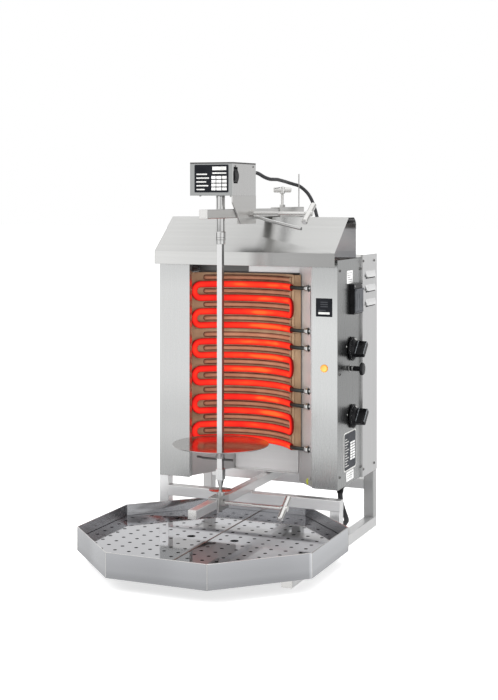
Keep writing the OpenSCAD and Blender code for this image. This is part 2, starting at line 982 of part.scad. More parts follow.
// Short screw on top of the sleeve
module sleeve_screw() {
  bar_z = 828;
  color("silver")
    translate([upper_arm_x, sleeve_screw_y, 0]) {
      foot = upper_arm_z + arm + 0.3;
      translate([0, 0, foot]) cylinder(h = bar_z - foot, d = 7);
      translate([0, 0, bar_z - 6]) cylinder(h = 12, d = 13);
      translate([0, 0, bar_z]) rotate([0, 0, 35]) translate([-22, 0, 0]) pin_x(44, 13);
    }
}

// ---- Spit ----

// Output shaft of the gearbox, with the square socket that takes the spit
module drive_shaft() {
  socket_z = 709;
  color("silver")
    translate([0, spit_y, 0])
      difference() {
        translate([0, 0, socket_z]) cylinder(h = motor_z0 + 45 - socket_z, r = shaft_r);
        block([-spit_w / 2 - 0.1, -spit_w / 2 - 0.1, socket_z - 1],
              [spit_w / 2 + 0.1, spit_w / 2 + 0.1, spit_top + 1]);
      }
}

// Locking sleeve over the joint of shaft and spit
module coupling_collar() {
  color("gainsboro")
    translate([0, spit_y, collar_z0])
      difference() {
        union() {
          cylinder(h = collar_z1 - collar_z0, d = 22);
          translate([0, 0, 8]) cylinder(h = collar_z1 - collar_z0 - 8, d = 24);
        }
        translate([0, 0, -1]) cylinder(h = 40, r = shaft_r + run);
      }
}

// Square spit with its foot, point and bearing pin
module spit() {
  foot_w = 16;
  foot_top = 202;
  color("silver")
    translate([0, spit_y, 0])
      difference() {
        union() {
          block([-spit_w / 2, -spit_w / 2, foot_top - 1], [spit_w / 2, spit_w / 2, spit_top]);
          block([-foot_w / 2, -foot_w / 2, spit_foot], [foot_w / 2, foot_w / 2, foot_top]);
          translate([0, 0, 162]) cylinder(h = spit_foot - 162 + 0.01, d1 = 9, d2 = foot_w);
          translate([0, 0, spit_tip_z]) cylinder(h = 20, d = 8);
        }
        translate([-20, 0, pin_z]) pin_x(40, 5);
      }
}

// Disc that carries the meat, with its square hub
module meat_disc() {
  hub_z = pin_z + 2.5 + gap;
  hole = spit_w + 2 * gap;
  color("gainsboro")
    translate([0, spit_y, 0])
      difference() {
        union() {
          translate([0, 0, disc_z - 2]) cylinder(h = 2, r = disc_r);
          translate([0, 0, hub_z]) cylinder(h = disc_z - 1 - hub_z, d = 24);
        }
        block([-hole / 2, -hole / 2, hub_z - 1], [hole / 2, hole / 2, disc_z + 9]);
      }
}

// Pin under the disc, straight through the spit and bent at the end that is pulled
module disc_pin() {
  color("gray") swept(pin_route, 5 - 2 * run, 12);
}

// ---- Lower carriage ----

module lower_saddle() {
  inner = arm / 2 + bracket_gap;
  cheek_z0 = 113;
  color("silver")
    difference() {
      union() {
        for (x = [-saddle_x, inner])
          block([x, saddle_y0, cheek_z0], [x + saddle_x - inner, saddle_y1, saddle_top]);
        block([-saddle_x, saddle_y0, saddle_top - 3], [saddle_x, saddle_y1, saddle_top]);
        translate([saddle_x - 0.01, lower_clamp_y, lower_clamp_z]) nut_x_axis(14, 7);
      }
      translate([1, lower_clamp_y, lower_clamp_z]) pin_x(40, 8 + 2 * run);
    }
}

// Bearing for the spit's pin, with the disc that keeps the fat off it
module bearing_cup() {
  color("silver")
    translate([0, spit_y, saddle_top])
      difference() {
        union() {
          cylinder(h = 10, d = 20);
          translate([0, 0, 9]) cylinder(h = 2, d = 53);
        }
        translate([0, 0, spit_tip_z - saddle_top - 0.5]) cylinder(h = 20, r = 4 + run);
      }
}

module lower_clamp_screw() {
  start = arm / 2 + 0.3;
  color("silver")
    translate([start, lower_clamp_y, lower_clamp_z]) clamp_screw(160 - start, 66, -55);
}

// ---- Tray ----

// Eight-sided pan with a ledge that carries the two perforated halves
module drip_tray() {
  wall = 1.2;
  ledge = 12;
  color("silver")
    translate([0, tray_y, tray_z])
      difference() {
        linear_extrude(tray_h) octagon(tray_w);
        translate([0, 0, wall])
          linear_extrude(insert_z - tray_z - gap - 2 * wall) octagon(tray_w - 2 * wall);
        translate([0, 0, 5]) linear_extrude(tray_h) octagon(tray_w - 2 * ledge);
        translate([0, 0, insert_z - tray_z - gap])
          linear_extrude(tray_h) octagon(tray_w - 2 * wall);
      }
}

// Half of the perforated floor; side is -1 for the left half
module insert(side) {
  thick = 1.5;
  edge = tray_w - 6;
  columns = 8;
  rows = 8;
  first = 19;
  color("whitesmoke")
    translate([0, tray_y, insert_z])
      linear_extrude(thick)
        difference() {
          intersection() {
            octagon(edge);
            translate([side > 0 ? 0.4 : -300.4, -300]) square([300, 600]);
          }
          translate([side * (first + hole_pitch), 0]) circle(d = finger_d);
          for (c = [0 : columns - 1])
            for (r = [-rows : rows]) {
              x = first + c * hole_pitch;
              y = r * hole_pitch;
              if (max(x, abs(y)) < edge / 2 - 8 && x + abs(y) < edge / 2 * sqrt(2) - 12
                  && !(c == 1 && r == 0))
                translate([side * x, y]) circle(d = hole_d);
            }
        }
}

module left_insert() {
  insert(-1);
}

module right_insert() {
  insert(1);
}

base_rails();
uprights();
crossbars();
support_mast();
lower_arm();
upper_arm();
arm_sleeve();
end_caps();
left_casing();
control_casing();
top_plate();
bottom_plate();
back_panel();
side_panels();
lower_reflector();
side_reflectors();
heater_back();
hood();
casing_screws();
upper_tile();
middle_tile();
lower_tile();
upper_element();
middle_element();
lower_element();
element_nuts();
upper_knob();
lower_knob();
push_knob();
switch_bodies();
socket_box();
socket_flap();
signal_lamp();
info_plates();
terminal_block();
cord_gland();
mains_cord();
mains_coil();
mains_plug();
motor_housing();
motor_lid();
gear_motor();
motor_bracket();
rocker_switch();
pull_handle();
motor_cable();
upper_clamp_screw();
sleeve_screw();
drive_shaft();
coupling_collar();
spit();
meat_disc();
disc_pin();
lower_saddle();
bearing_cup();
lower_clamp_screw();
drip_tray();
left_insert();
right_insert();
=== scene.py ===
"""Looks for the vertical spit grill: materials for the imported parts, and finer pieces around them.

Metres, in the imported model's frame: +X is the control side, -Y the cook's side, +Z up.
"""

import math

import bmesh
import bpy
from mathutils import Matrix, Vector


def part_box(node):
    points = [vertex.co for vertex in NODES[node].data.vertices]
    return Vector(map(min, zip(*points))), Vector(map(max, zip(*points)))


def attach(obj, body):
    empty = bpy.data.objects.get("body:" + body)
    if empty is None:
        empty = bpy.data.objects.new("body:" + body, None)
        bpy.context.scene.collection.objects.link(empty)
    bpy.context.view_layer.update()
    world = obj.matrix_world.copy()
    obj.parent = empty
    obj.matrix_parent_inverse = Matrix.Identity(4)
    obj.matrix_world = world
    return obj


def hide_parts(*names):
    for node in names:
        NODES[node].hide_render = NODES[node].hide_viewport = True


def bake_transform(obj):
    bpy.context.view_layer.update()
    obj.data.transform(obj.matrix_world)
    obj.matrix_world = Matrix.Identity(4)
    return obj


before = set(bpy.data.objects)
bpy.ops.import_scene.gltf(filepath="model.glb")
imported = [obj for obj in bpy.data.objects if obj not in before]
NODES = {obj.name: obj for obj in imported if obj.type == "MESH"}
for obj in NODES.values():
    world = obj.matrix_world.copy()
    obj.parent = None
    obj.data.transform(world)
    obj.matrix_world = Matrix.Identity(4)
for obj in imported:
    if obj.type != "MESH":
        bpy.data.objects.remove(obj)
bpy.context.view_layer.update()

MM = 0.001

# Camera: level, 23 degrees round to the control side, with the view shifted down
CAMERA_AZIMUTH = 23.1
CAMERA_PLACE = (1.2181, -2.7462, 0.808)
CAMERA_LENS = 67.85
CAMERA_SHIFT_Y = -0.217

# Heater: the arc that the tubes follow, in plan, and the angles where their turns start
HEATER_CENTRE = (-0.030, 0.025)
HEATER_RADIUS = 0.165
TILE_FACE, TILE_BACK = 0.1716, 0.1836
TILES = {"upper_tile": (0.4915, 0.628), "middle_tile": (0.361, 0.491),
         "lower_tile": (0.219, 0.3605)}
ELEMENT_TOPS = {"upper_element": 0.5995, "middle_element": 0.4608, "lower_element": 0.3266}
TURN_LEFT, TURN_RIGHT, HOT_END = -43.0, 48.0, 53.0
RIB_LEFT, RIB_RIGHT = -38.0, 44.0
PASS_PITCH = 0.033
ELEMENT_TALL, ELEMENT_DEEP = 0.0156, 0.0092
NUT_PLACE = (0.147, 0.111)
TILE_MARGIN = ((104, 130), (121, 134.5), (111, 144), (106, 145))

# Controls, on the front panel and on the control box's outer side
FRONT_Y, PANEL_X = 0.0925, 0.2265
KNOB_PLACES = ((0.190, 0.4555), (0.195, 0.297))
PUSH_PLACE = (0.177, 0.411)
LAMP_PLACE = (0.194, 0.419)
FLAP_HINGE_Z = 0.593
FRONT_SCREWS = ((0.108, 0.6415), (0.252, 0.640), (0.106, 0.405), (0.106, 0.170), (0.255, 0.167))
LOUVER_YS, LOUVER_TOPS = (0.280, 0.358), (0.6315, 0.5985, 0.5635)
REAR_SCREWS = ((0.263, 0.6576), (0.347, 0.656), (0.263, 0.160), (0.347, 0.160))

SPIT = (0.0, -0.053)
# Clamp screws: node, start of the thread, x of the bar, its length and its tilt in degrees, body
CLAMPS = (("upper_clamp_screw", (0.0368, 0.031, 0.7735), 0.180, 0.072, -57, "upper_clamp"),
          ("lower_clamp_screw", (0.0103, -0.070, 0.131), 0.160, 0.066, -55, "lower_clamp"))
SLEEVE_SCREW = (0.0265, 0.255, 0.828)
ROCKER_PLACE = (0.038, -0.0595, 0.859)
# Open ends of arms and rails: x, y of the end, z of the middle, size
ARM_ENDS = ((0.0, -0.201, 0.131, 0.020), (0.0265, -0.201, 0.7735, 0.020),
            (-0.2175, -0.202, 0.0125, 0.025), (0.2175, -0.202, 0.0125, 0.025))
# Bent bars, in millimetres
HANDLE_ROUTE = ((40, 54, 765), (52, 54, 763), (66, 52, 759), (82, 49, 755), (121, 42, 747),
                (160, 35, 739))
PIN_ROUTE = ((-54, -59, 226), (-47, -57, 225), (-38, -53, 223), (14, -53, 223), (30, -53, 223))

# Mains lead: gland to coil, the coil, and the tail to the plug; and the motor's lead
CORD_D = 0.012
CORD_ROUTE = [Vector(p) * MM for p in (
    (205.5, 170, 120), (205.8, 171.2, 108), (207, 175.5, 93), (208.6, 183.5, 77.5),
    (209, 195, 63.5), (207.2, 209, 51.5), (202.7, 223, 42.5), (196, 236.5, 35.5),
    (188.5, 249, 28), (179.5, 260.5, 20.3), (169.5, 271, 13.6), (159, 280, 9),
    (147.5, 289, 6.6), (135, 300, 6.2))]
TAIL_ROUTE = [Vector(p) * MM for p in (
    (-14, 257.5, 18.3), (-19.5, 244, 19), (-28.5, 232.5, 20.8), (-40, 223.5, 23.3),
    (-53.5, 218, 25.6), (-68, 216, 27))]
COIL_CENTRE = (0.060, 0.272)
COIL_RADIUS = 0.066
COIL_START, COIL_TURNS = 45, 3.375
LIFT = 0.0002
PLUG_PLACE = (-0.170, 0.216, 0.027)
LEAD_D = 0.0085
LEAD_ROUTE = [Vector(p) * MM for p in (
    (30, 70, 867), (31, 88, 866), (31, 106, 862.5), (31, 126, 858), (31, 146, 855),
    (31, 166, 853), (30, 186, 853), (28, 206, 853), (26, 226, 853), (23, 246, 852),
    (20, 266, 851), (17, 286, 850), (14, 306, 849), (12, 326, 847.5), (12, 345, 845.5),
    (15, 361, 843), (24, 375.5, 839), (35, 382, 830), (47, 382, 818), (58, 378, 802),
    (68, 370, 784), (77, 361, 765), (85, 352, 746), (92, 343, 727), (98, 335, 708),
    (102, 329, 690))]


# ---- Camera, floor and light ----

def make_camera():
    data = bpy.data.cameras.new("camera")
    camera = bpy.data.objects.new("camera", data)
    bpy.context.scene.collection.objects.link(camera)
    camera.location = CAMERA_PLACE
    camera.rotation_euler = (math.radians(90), 0, math.radians(CAMERA_AZIMUTH))
    data.lens = CAMERA_LENS
    data.sensor_width = 36
    data.shift_y = CAMERA_SHIFT_Y
    bpy.context.scene.camera = camera


def area_light(name, place, target, size, power, colour=(1, 1, 1)):
    data = bpy.data.lights.new(name, "AREA")
    data.shape = "RECTANGLE"
    data.size, data.size_y = size
    data.energy = power
    data.color = colour
    light = bpy.data.objects.new(name, data)
    bpy.context.scene.collection.objects.link(light)
    light.location = place
    direction = Vector(target) - Vector(place)
    light.rotation_euler = direction.to_track_quat("-Z", "Y").to_euler()
    light.visible_glossy = False


def ramp_node(tree, value, stops):
    """A colour ramp of greys or colours, from (place, tone) pairs."""
    node = tree.nodes.new("ShaderNodeValToRGB")
    points = node.color_ramp.elements
    while len(points) > 1:
        points.remove(points[-1])
    for i, (place, tone) in enumerate(stops):
        point = points[0] if i == 0 else points.new(place)
        point.position = place
        point.color = (*(tone if isinstance(tone, tuple) else (tone,) * 3), 1)
    tree.links.new(value, node.inputs[0])
    return node.outputs[0]


def math_node(tree, operation, *values):
    node = tree.nodes.new("ShaderNodeMath")
    node.operation = operation
    for socket, value in zip(node.inputs, values):
        if isinstance(value, (int, float)):
            socket.default_value = value
        else:
            tree.links.new(value, socket)
    return node.outputs[0]


def vector_node(tree, operation, *values):
    node = tree.nodes.new("ShaderNodeVectorMath")
    node.operation = operation
    for socket, value in zip(node.inputs, values):
        if isinstance(value, tuple):
            socket.default_value = value
        else:
            tree.links.new(value, socket)
    return node


# The studio's walls, by compass direction from -Y through -X, +Y and +X, and its height
WALLS = ((0.0, 0.96), (0.10, 1.0), (0.145, 0.80), (0.18, 0.22), (0.215, 0.26), (0.26, 0.84),
         (0.31, 0.92), (0.37, 0.98), (0.40, 1.0), (0.475, 1.0), (0.505, 0.50), (0.54, 0.74),
         (0.585, 0.70), (0.63, 0.40), (0.67, 0.16), (0.72, 0.26), (0.77, 0.98), (0.82, 1.06),
         (0.88, 0.90), (0.925, 0.45), (0.96, 0.70), (1.0, 0.96))
HEIGHTS = ((0.0, 0.40), (0.16, 0.25), (0.26, 0.50), (0.33, 0.78), (0.40, 0.96), (0.475, 1.0),
           (0.58, 1.0), (0.64, 0.64), (0.70, 0.46), (0.76, 0.85), (0.82, 1.0), (1.0, 1.04))


def make_world():
    world = bpy.data.worlds.new("studio")
    bpy.context.scene.world = world
    world.use_nodes = True
    tree = world.node_tree
    coords = tree.nodes.new("ShaderNodeTexCoord")
    split = tree.nodes.new("ShaderNodeSeparateXYZ")
    tree.links.new(coords.outputs["Generated"], split.inputs[0])
    turn = math_node(tree, "ARCTAN2", split.outputs["X"], split.outputs["Y"])
    walls = ramp_node(tree, math_node(tree, "MULTIPLY_ADD", turn, 1 / math.tau, 0.5), WALLS)
    heights = ramp_node(tree, math_node(tree, "MULTIPLY_ADD", split.outputs["Z"], 0.5, 0.5), HEIGHTS)
    # The walls count near the horizon only: towards the ceiling and the ground they fade out
    level = math_node(tree, "SUBTRACT", 1.0, math_node(tree, "ABSOLUTE", split.outputs["Z"]))
    both = tree.nodes.new("ShaderNodeMix")
    both.data_type = "RGBA"
    both.blend_type = "MULTIPLY"
    tree.links.new(ramp_node(tree, level, ((0.25, 0.0), (0.7, 1.0))), both.inputs["Factor"])
    tree.links.new(heights, both.inputs["A"])
    tree.links.new(walls, both.inputs["B"])
    back = tree.nodes["Background"]
    tree.links.new(both.outputs["Result"], back.inputs["Color"])
    back.inputs["Strength"].default_value = 1.0


def make_studio():
    make_world()
    bpy.context.scene.view_settings.view_transform = "Standard"
    bpy.ops.mesh.primitive_plane_add(size=60, location=(0, 0, -0.0005))
    floor = bpy.context.object
    floor.name = "floor"
    paint = new_material("floor_paint", (0.9, 0.9, 0.9), 0.95)
    shader_of(paint).inputs["Emission Color"].default_value = (1, 1, 1, 1)
    shader_of(paint).inputs["Emission Strength"].default_value = 0.6
    floor.data.materials.append(paint)
    floor.visible_glossy = False
    area_light("key", (-1.6, -2.4, 2.2), (0, 0, 0.5), (1.4, 1.8), 34)
    area_light("fill", (2.6, -1.6, 1.3), (0.1, 0.1, 0.5), (1.0, 2.0), 14)
    area_light("top", (0, 0.2, 2.8), (0, 0.1, 0.4), (2.0, 2.0), 22)


# ---- Materials ----

def new_material(name, colour, roughness, metallic=0.0):
    material = bpy.data.materials.new(name)
    material.use_nodes = True
    shader = material.node_tree.nodes["Principled BSDF"]
    shader.inputs["Base Color"].default_value = (*colour, 1)
    shader.inputs["Roughness"].default_value = roughness
    shader.inputs["Metallic"].default_value = metallic
    return material


def shader_of(material):
    return material.node_tree.nodes["Principled BSDF"]


def add_noise(material, scale, detail=3.0, stretch=(1, 1, 1)):
    """A noise in the object's own space; stretch squeezes it along each axis."""
    tree = material.node_tree
    coords = tree.nodes.new("ShaderNodeTexCoord")
    mapping = tree.nodes.new("ShaderNodeMapping")
    mapping.inputs["Scale"].default_value = stretch
    noise = tree.nodes.new("ShaderNodeTexNoise")
    noise.inputs["Scale"].default_value = scale
    noise.inputs["Detail"].default_value = detail
    tree.links.new(coords.outputs["Object"], mapping.inputs["Vector"])
    tree.links.new(mapping.outputs["Vector"], noise.inputs["Vector"])
    return noise.outputs["Fac"]


def spread(material, value, low, high, from_low=0.3, from_high=0.7):
    tree = material.node_tree
    node = tree.nodes.new("ShaderNodeMapRange")
    node.inputs["From Min"].default_value = from_low
    node.inputs["From Max"].default_value = from_high
    node.inputs["To Min"].default_value = low
    node.inputs["To Max"].default_value = high
    tree.links.new(value, node.inputs["Value"])
    return node.outputs["Result"]


def blend_colours(material, value, dark, light):
    tree = material.node_tree
    node = tree.nodes.new("ShaderNodeMix")
    node.data_type = "RGBA"
    node.inputs["A"].default_value = (*dark, 1)
    node.inputs["B"].default_value = (*light, 1)
    tree.links.new(value, node.inputs["Factor"])
    return node.outputs["Result"]


def bump(material, value, strength, distance):
    tree = material.node_tree
    node = tree.nodes.new("ShaderNodeBump")
    node.inputs["Strength"].default_value = strength
    node.inputs["Distance"].default_value = distance
    tree.links.new(value, node.inputs["Height"])
    last = shader_of(material).inputs["Normal"]
    if last.is_linked:
        tree.links.new(last.links[0].from_socket, node.inputs["Normal"])
    tree.links.new(node.outputs["Normal"], last)


def link(material, value, socket):
    material.node_tree.links.new(value, shader_of(material).inputs[socket])


def brushed_steel(name, along, tone=0.62, roughness=0.3, tint=(1.0, 0.99, 0.97), contrast=0.03):
    """Steel brushed along one axis: fine streaks in tone, gloss and relief, and a slow waviness."""
    dark = [tone * (1 - contrast) * t for t in tint]
    light = [tone * (1 + contrast / 2) * t for t in tint]
    material = new_material(name, light, roughness, 1.0)
    stretch = {"x": (0.02, 1, 1), "y": (1, 0.02, 1), "z": (1, 1, 0.02)}[along]
    streaks = add_noise(material, 900, 4, stretch)
    wide = add_noise(material, 140, 3, stretch)
    cloud = add_noise(material, 4, 1)
    link(material, blend_colours(material, spread(material, wide, 0, 1), dark, light), "Base Color")
    link(material, spread(material, streaks, roughness - 0.01, roughness + 0.012), "Roughness")
    bump(material, cloud, 0.015, 0.002)
    bump(material, streaks, 0.005, 0.00001)
    return material


def place_ramp(material, axis, low, high, stops):
    """A soft ramp of tones along one axis of the object, from low to high in metres."""
    tree = material.node_tree
    coords = tree.nodes.new("ShaderNodeTexCoord")
    split = tree.nodes.new("ShaderNodeSeparateXYZ")
    tree.links.new(coords.outputs["Object"], split.inputs[0])
    scaled = math_node(tree, "MULTIPLY_ADD", split.outputs[axis], 1 / (high - low),
                       -low / (high - low))
    ramp = ramp_node(tree, scaled, stops)
    ramp.node.color_ramp.interpolation = "EASE"
    return ramp


def shade(material, tones):
    """Multiplies a material's base colour by a ramp of tones."""
    tree = material.node_tree
    base = shader_of(material).inputs["Base Color"]
    node = tree.nodes.new("ShaderNodeMix")
    node.data_type = "RGBA"
    node.blend_type = "MULTIPLY"
    node.inputs["Factor"].default_value = 1.0
    tree.links.new(base.links[0].from_socket, node.inputs["A"])
    tree.links.new(tones, node.inputs["B"])
    tree.links.new(node.outputs["Result"], base)
    return material


def choose(material, factor, first, second):
    """The second socket's colour where factor is 1, and the first's where it is 0."""
    tree = material.node_tree
    node = tree.nodes.new("ShaderNodeMix")
    node.data_type = "RGBA"
    tree.links.new(factor, node.inputs["Factor"])
    tree.links.new(first, node.inputs["A"])
    tree.links.new(second, node.inputs["B"])
    return node.outputs["Result"]


def hood_steel(name):
    """The hood's steel, with painted light: painted reflection bands across the slope, a lip painted lighter
    on the left and darker to the right, and a painted glow inside.
    """
    material = brushed_steel(name, "x", 0.66, 0.26, (1.0, 1.0, 0.985))
    tree = material.node_tree
    # Painted reflections: the darker bands across the slope stand in for the motor box and arms mirrored in
    # it.
    slope = place_ramp(material, "X", -0.23, 0.23, (
        (0.0, 1.02), (0.30, 0.93), (0.54, 0.84), (0.59, 0.66), (0.64, 0.86), (0.69, 0.74),
        (0.75, 0.94), (1.0, 0.97)))
    # Painted highlight and shade along the lip, lighter on the left and darker to the right.
    lip = place_ramp(material, "X", -0.23, 0.23, (
        (0.0, 1.20), (0.30, 1.12), (0.52, 1.06), (0.58, 0.78), (0.62, 0.90), (0.66, 0.66),
        (1.0, 0.60)))
    split = place_ramp(material, "Z", 0.681, 0.684, ((0.0, 0.0), (1.0, 1.0)))
    shade(material, choose(material, split, lip, slope))
    # Painted light: a faint emission on the inside of the back wall, below the fold, brightens the hood's
    # shaded open end.
    inside = place_ramp(material, "Y", 0.2125, 0.2205, (
        (0.0, 0.0), (0.1, 1.0), (0.9, 1.0), (0.97, 0.0)))
    below = place_ramp(material, "Z", 0.733, 0.740, ((0.0, 1.0), (1.0, 0.0)))
    glow = math_node(tree, "MULTIPLY", math_node(tree, "MULTIPLY", inside, below), 0.20)
    shader_of(material).inputs["Emission Color"].default_value = (0.95, 0.96, 1.0, 1)
    link(material, glow, "Emission Strength")
    return material


def panel_steel(name, tone, stops, roughness=0.27):
    """A tall panel that grows darker to its foot, as the table in front of it is mirrored there."""
    material = brushed_steel(name, "z", tone, roughness, (0.99, 1.0, 0.995), 0.012)
    return shade(material, place_ramp(material, "Z", 0.145, 0.655, stops))


def control_steel(name):
    """The control box's sheet, with painted shade: a light front that falls off to painted shade at top and
    foot, and an outer side painted darker as a face in shade.
    """
    material = brushed_steel(name, "z", 0.80, 0.27, (0.985, 1.0, 0.995), 0.012)
    front = place_ramp(material, "Z", 0.145, 0.655, (
        (0.0, 0.66), (0.2, 0.80), (0.45, 0.98), (0.7, 1.0), (1.0, 0.70)))
    side = place_ramp(material, "Z", 0.145, 0.655, (
        (0.0, 0.64), (0.15, 0.66), (0.4, 0.46), (0.65, 0.42), (0.85, 0.50), (1.0, 0.56)))
    # The outer face takes the darker ramp: painted shade on that side.
    outer = place_ramp(material, "X", 0.2252, 0.2262, ((0.0, 0.0), (1.0, 1.0)))
    return shade(material, choose(material, outer, front, side))


def motor_steel(name):
    """The motor box's sheet, with painted shade on its front frame and a painted highlight on its outer
    side.
    """
    material = brushed_steel(name, "z", 0.66, 0.27, (1.0, 0.995, 0.985), 0.01)
    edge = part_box("motor_housing")[1][0]
    # Painted shade on the front frame, and a painted highlight past the edge on the outer side.
    return shade(material, place_ramp(material, "X", edge - 0.002, edge - 0.0008, (
        (0.0, (0.66, 0.68, 0.68)), (1.0, 1.10))))


def tray_steel(name):
    """The tray's folded wall, softly clouded, with painted shade towards its foot, painted bands of light
    and shade across it, and a painted highlight that makes it lighter on its right-hand side.
    """
    material = brushed_steel(name, "y", 0.56, 0.24, (0.97, 0.985, 1.02), 0.004)
    # Painted shade, darker towards the foot of the wall.
    shade(material, place_ramp(material, "Z", 0.033, 0.087, ((0.0, 0.80), (0.3, 0.94), (1.0, 1.06))))
    # Painted bands of light and shade across the wall, and a painted highlight on the right-hand facet.
    return shade(material, place_ramp(material, "X", -0.28, 0.28, (
        (0.0, 0.90), (0.12, 0.84), (0.20, 1.0), (0.30, 0.94), (0.50, 0.88), (0.62, 0.96),
        (0.90, 0.88), (0.985, 0.94), (0.992, 1.50))))


def spit_steel(name):
    """Bright bar steel whose flats to the right lie in the shade of the control box."""
    material = brushed_steel(name, "z", 0.86, 0.24, (1, 1, 1))
    tree = material.node_tree
    coords = tree.nodes.new("ShaderNodeTexCoord")
    split = tree.nodes.new("ShaderNodeSeparateXYZ")
    tree.links.new(coords.outputs["Normal"], split.inputs[0])
    return shade(material, ramp_node(tree, split.outputs["X"], ((0.0, 1.0), (0.55, 0.9), (0.8, 0.34))))


def polished_steel(name, tone=0.72, roughness=0.12, tint=(1, 1, 0.99)):
    material = new_material(name, [tone * t for t in tint], roughness, 1.0)
    marks = add_noise(material, 260, 5)
    cloud = add_noise(material, 9, 2)
    link(material, spread(material, marks, roughness * 0.6, roughness * 1.7), "Roughness")
    bump(material, cloud, 0.05, 0.003)
    return material


def tube_steel(name, along, tone):
    """The stand's blasted square tube, a little more matt than sheet, so that it stays pale."""
    material = brushed_steel(name, along, tone, 0.32, (1, 1, 1))
    shader_of(material).inputs["Metallic"].default_value = 0.75
    return material


def upright_steel(name):
    """The uprights' tube: the rear ones stand in the casing's shade."""
    material = tube_steel(name, "z", 0.98)
    return shade(material, place_ramp(material, "Y", 0.20, 0.28, ((0.0, 1.0), (1.0, 0.62))))


def white_steel(name):
    """Bright pickled sheet, more matt than the casing, so that it stays pale in the heater's shade."""
    material = brushed_steel(name, "x", 0.92, 0.42, (1, 1, 1), 0.02)
    shader_of(material).inputs["Metallic"].default_value = 0.55
    return material


def splay_steel(name):
    """The heater's splayed walls, painted darker towards the foot below the tiles: painted shade."""
    material = white_steel(name)
    return shade(material, place_ramp(material, "Z", 0.145, 0.30, (
        (0.0, 0.60), (0.45, 0.66), (0.58, 0.92), (1.0, 0.96))))


def plastic(name, colour, roughness=0.38, grain=0.15, shine=0.5):
    material = new_material(name, colour, roughness)
    fine = add_noise(material, 1500, 2)
    slow = add_noise(material, 60, 3)
    light = [c * 1.35 + 0.004 for c in colour]
    link(material, blend_colours(material, spread(material, slow, 0, 1), colour, light), "Base Color")
    link(material, spread(material, fine, roughness - 0.06, roughness + 0.1), "Roughness")
    bump(material, fine, grain, 0.00012)
    shader_of(material).inputs["Specular IOR Level"].default_value = shine
    return material


def fireclay(name, dark, light):
    material = new_material(name, light, 0.9)
    speck = add_noise(material, 420, 6)
    stain = add_noise(material, 28, 4)
    link(material, blend_colours(material, spread(material, stain, 0, 1), dark, light), "Base Color")
    link(material, spread(material, speck, 0.8, 1.0), "Roughness")
    bump(material, speck, 0.5, 0.0006)
    return material


def glowing(name, colour, strength):
    material = new_material(name, (0.25, 0.05, 0.03), 0.5)
    mottle = add_noise(material, 30, 3)
    dark = [c * f for c, f in zip(colour, (0.85, 0.55, 0.5))]
    light = [c * f for c, f in zip(colour, (1.0, 1.5, 1.6))]
    glow = blend_colours(material, spread(material, mottle, 0, 1), dark, light)
    link(material, glow, "Emission Color")
    shader_of(material).inputs["Emission Strength"].default_value = strength
    return material


# Glow across a tube, from its edges to the side that faces the meat
GLOW = ((0.0, (0.16, 0.003, 0.003)), (0.40, (0.45, 0.006, 0.006)), (0.62, (0.80, 0.013, 0.013)),
        (0.80, (0.98, 0.028, 0.018)), (0.93, (1.0, 0.060, 0.022)), (1.0, (1.0, 0.17, 0.035)))


def hot_tube(name):
    """Red-hot metal: brightest on the side that faces the heater's middle, with slow hot spots."""
    material = new_material(name, (0.02, 0.002, 0.001), 0.7)
    shader_of(material).inputs["Specular IOR Level"].default_value = 0.08
    tree = material.node_tree
    coords = tree.nodes.new("ShaderNodeTexCoord")
    inward = vector_node(tree, "SUBTRACT", (*HEATER_CENTRE, 0), coords.outputs["Object"])
    flat = vector_node(tree, "MULTIPLY", inward.outputs[0], (1, 1, 0))
    ray = vector_node(tree, "NORMALIZE", flat.outputs[0])
    facing = vector_node(tree, "DOT_PRODUCT", ray.outputs[0], coords.outputs["Normal"])
    spots = add_noise(material, 14, 2, (1, 1, 2.2))
    drift = spread(material, spots, -0.16, 0.04)
    warm = place_ramp(material, "X", -0.19, 0.11, ((0.0, 0.86), (0.35, 0.93), (0.75, 1.03),
                                                  (0.92, 0.98), (1.0, 0.90)))
    heat = math_node(tree, "MULTIPLY_ADD", facing.outputs["Value"], warm, drift)
    link(material, ramp_node(tree, heat, GLOW), "Emission Color")
    shader_of(material).inputs["Emission Strength"].default_value = 1.0
    return material


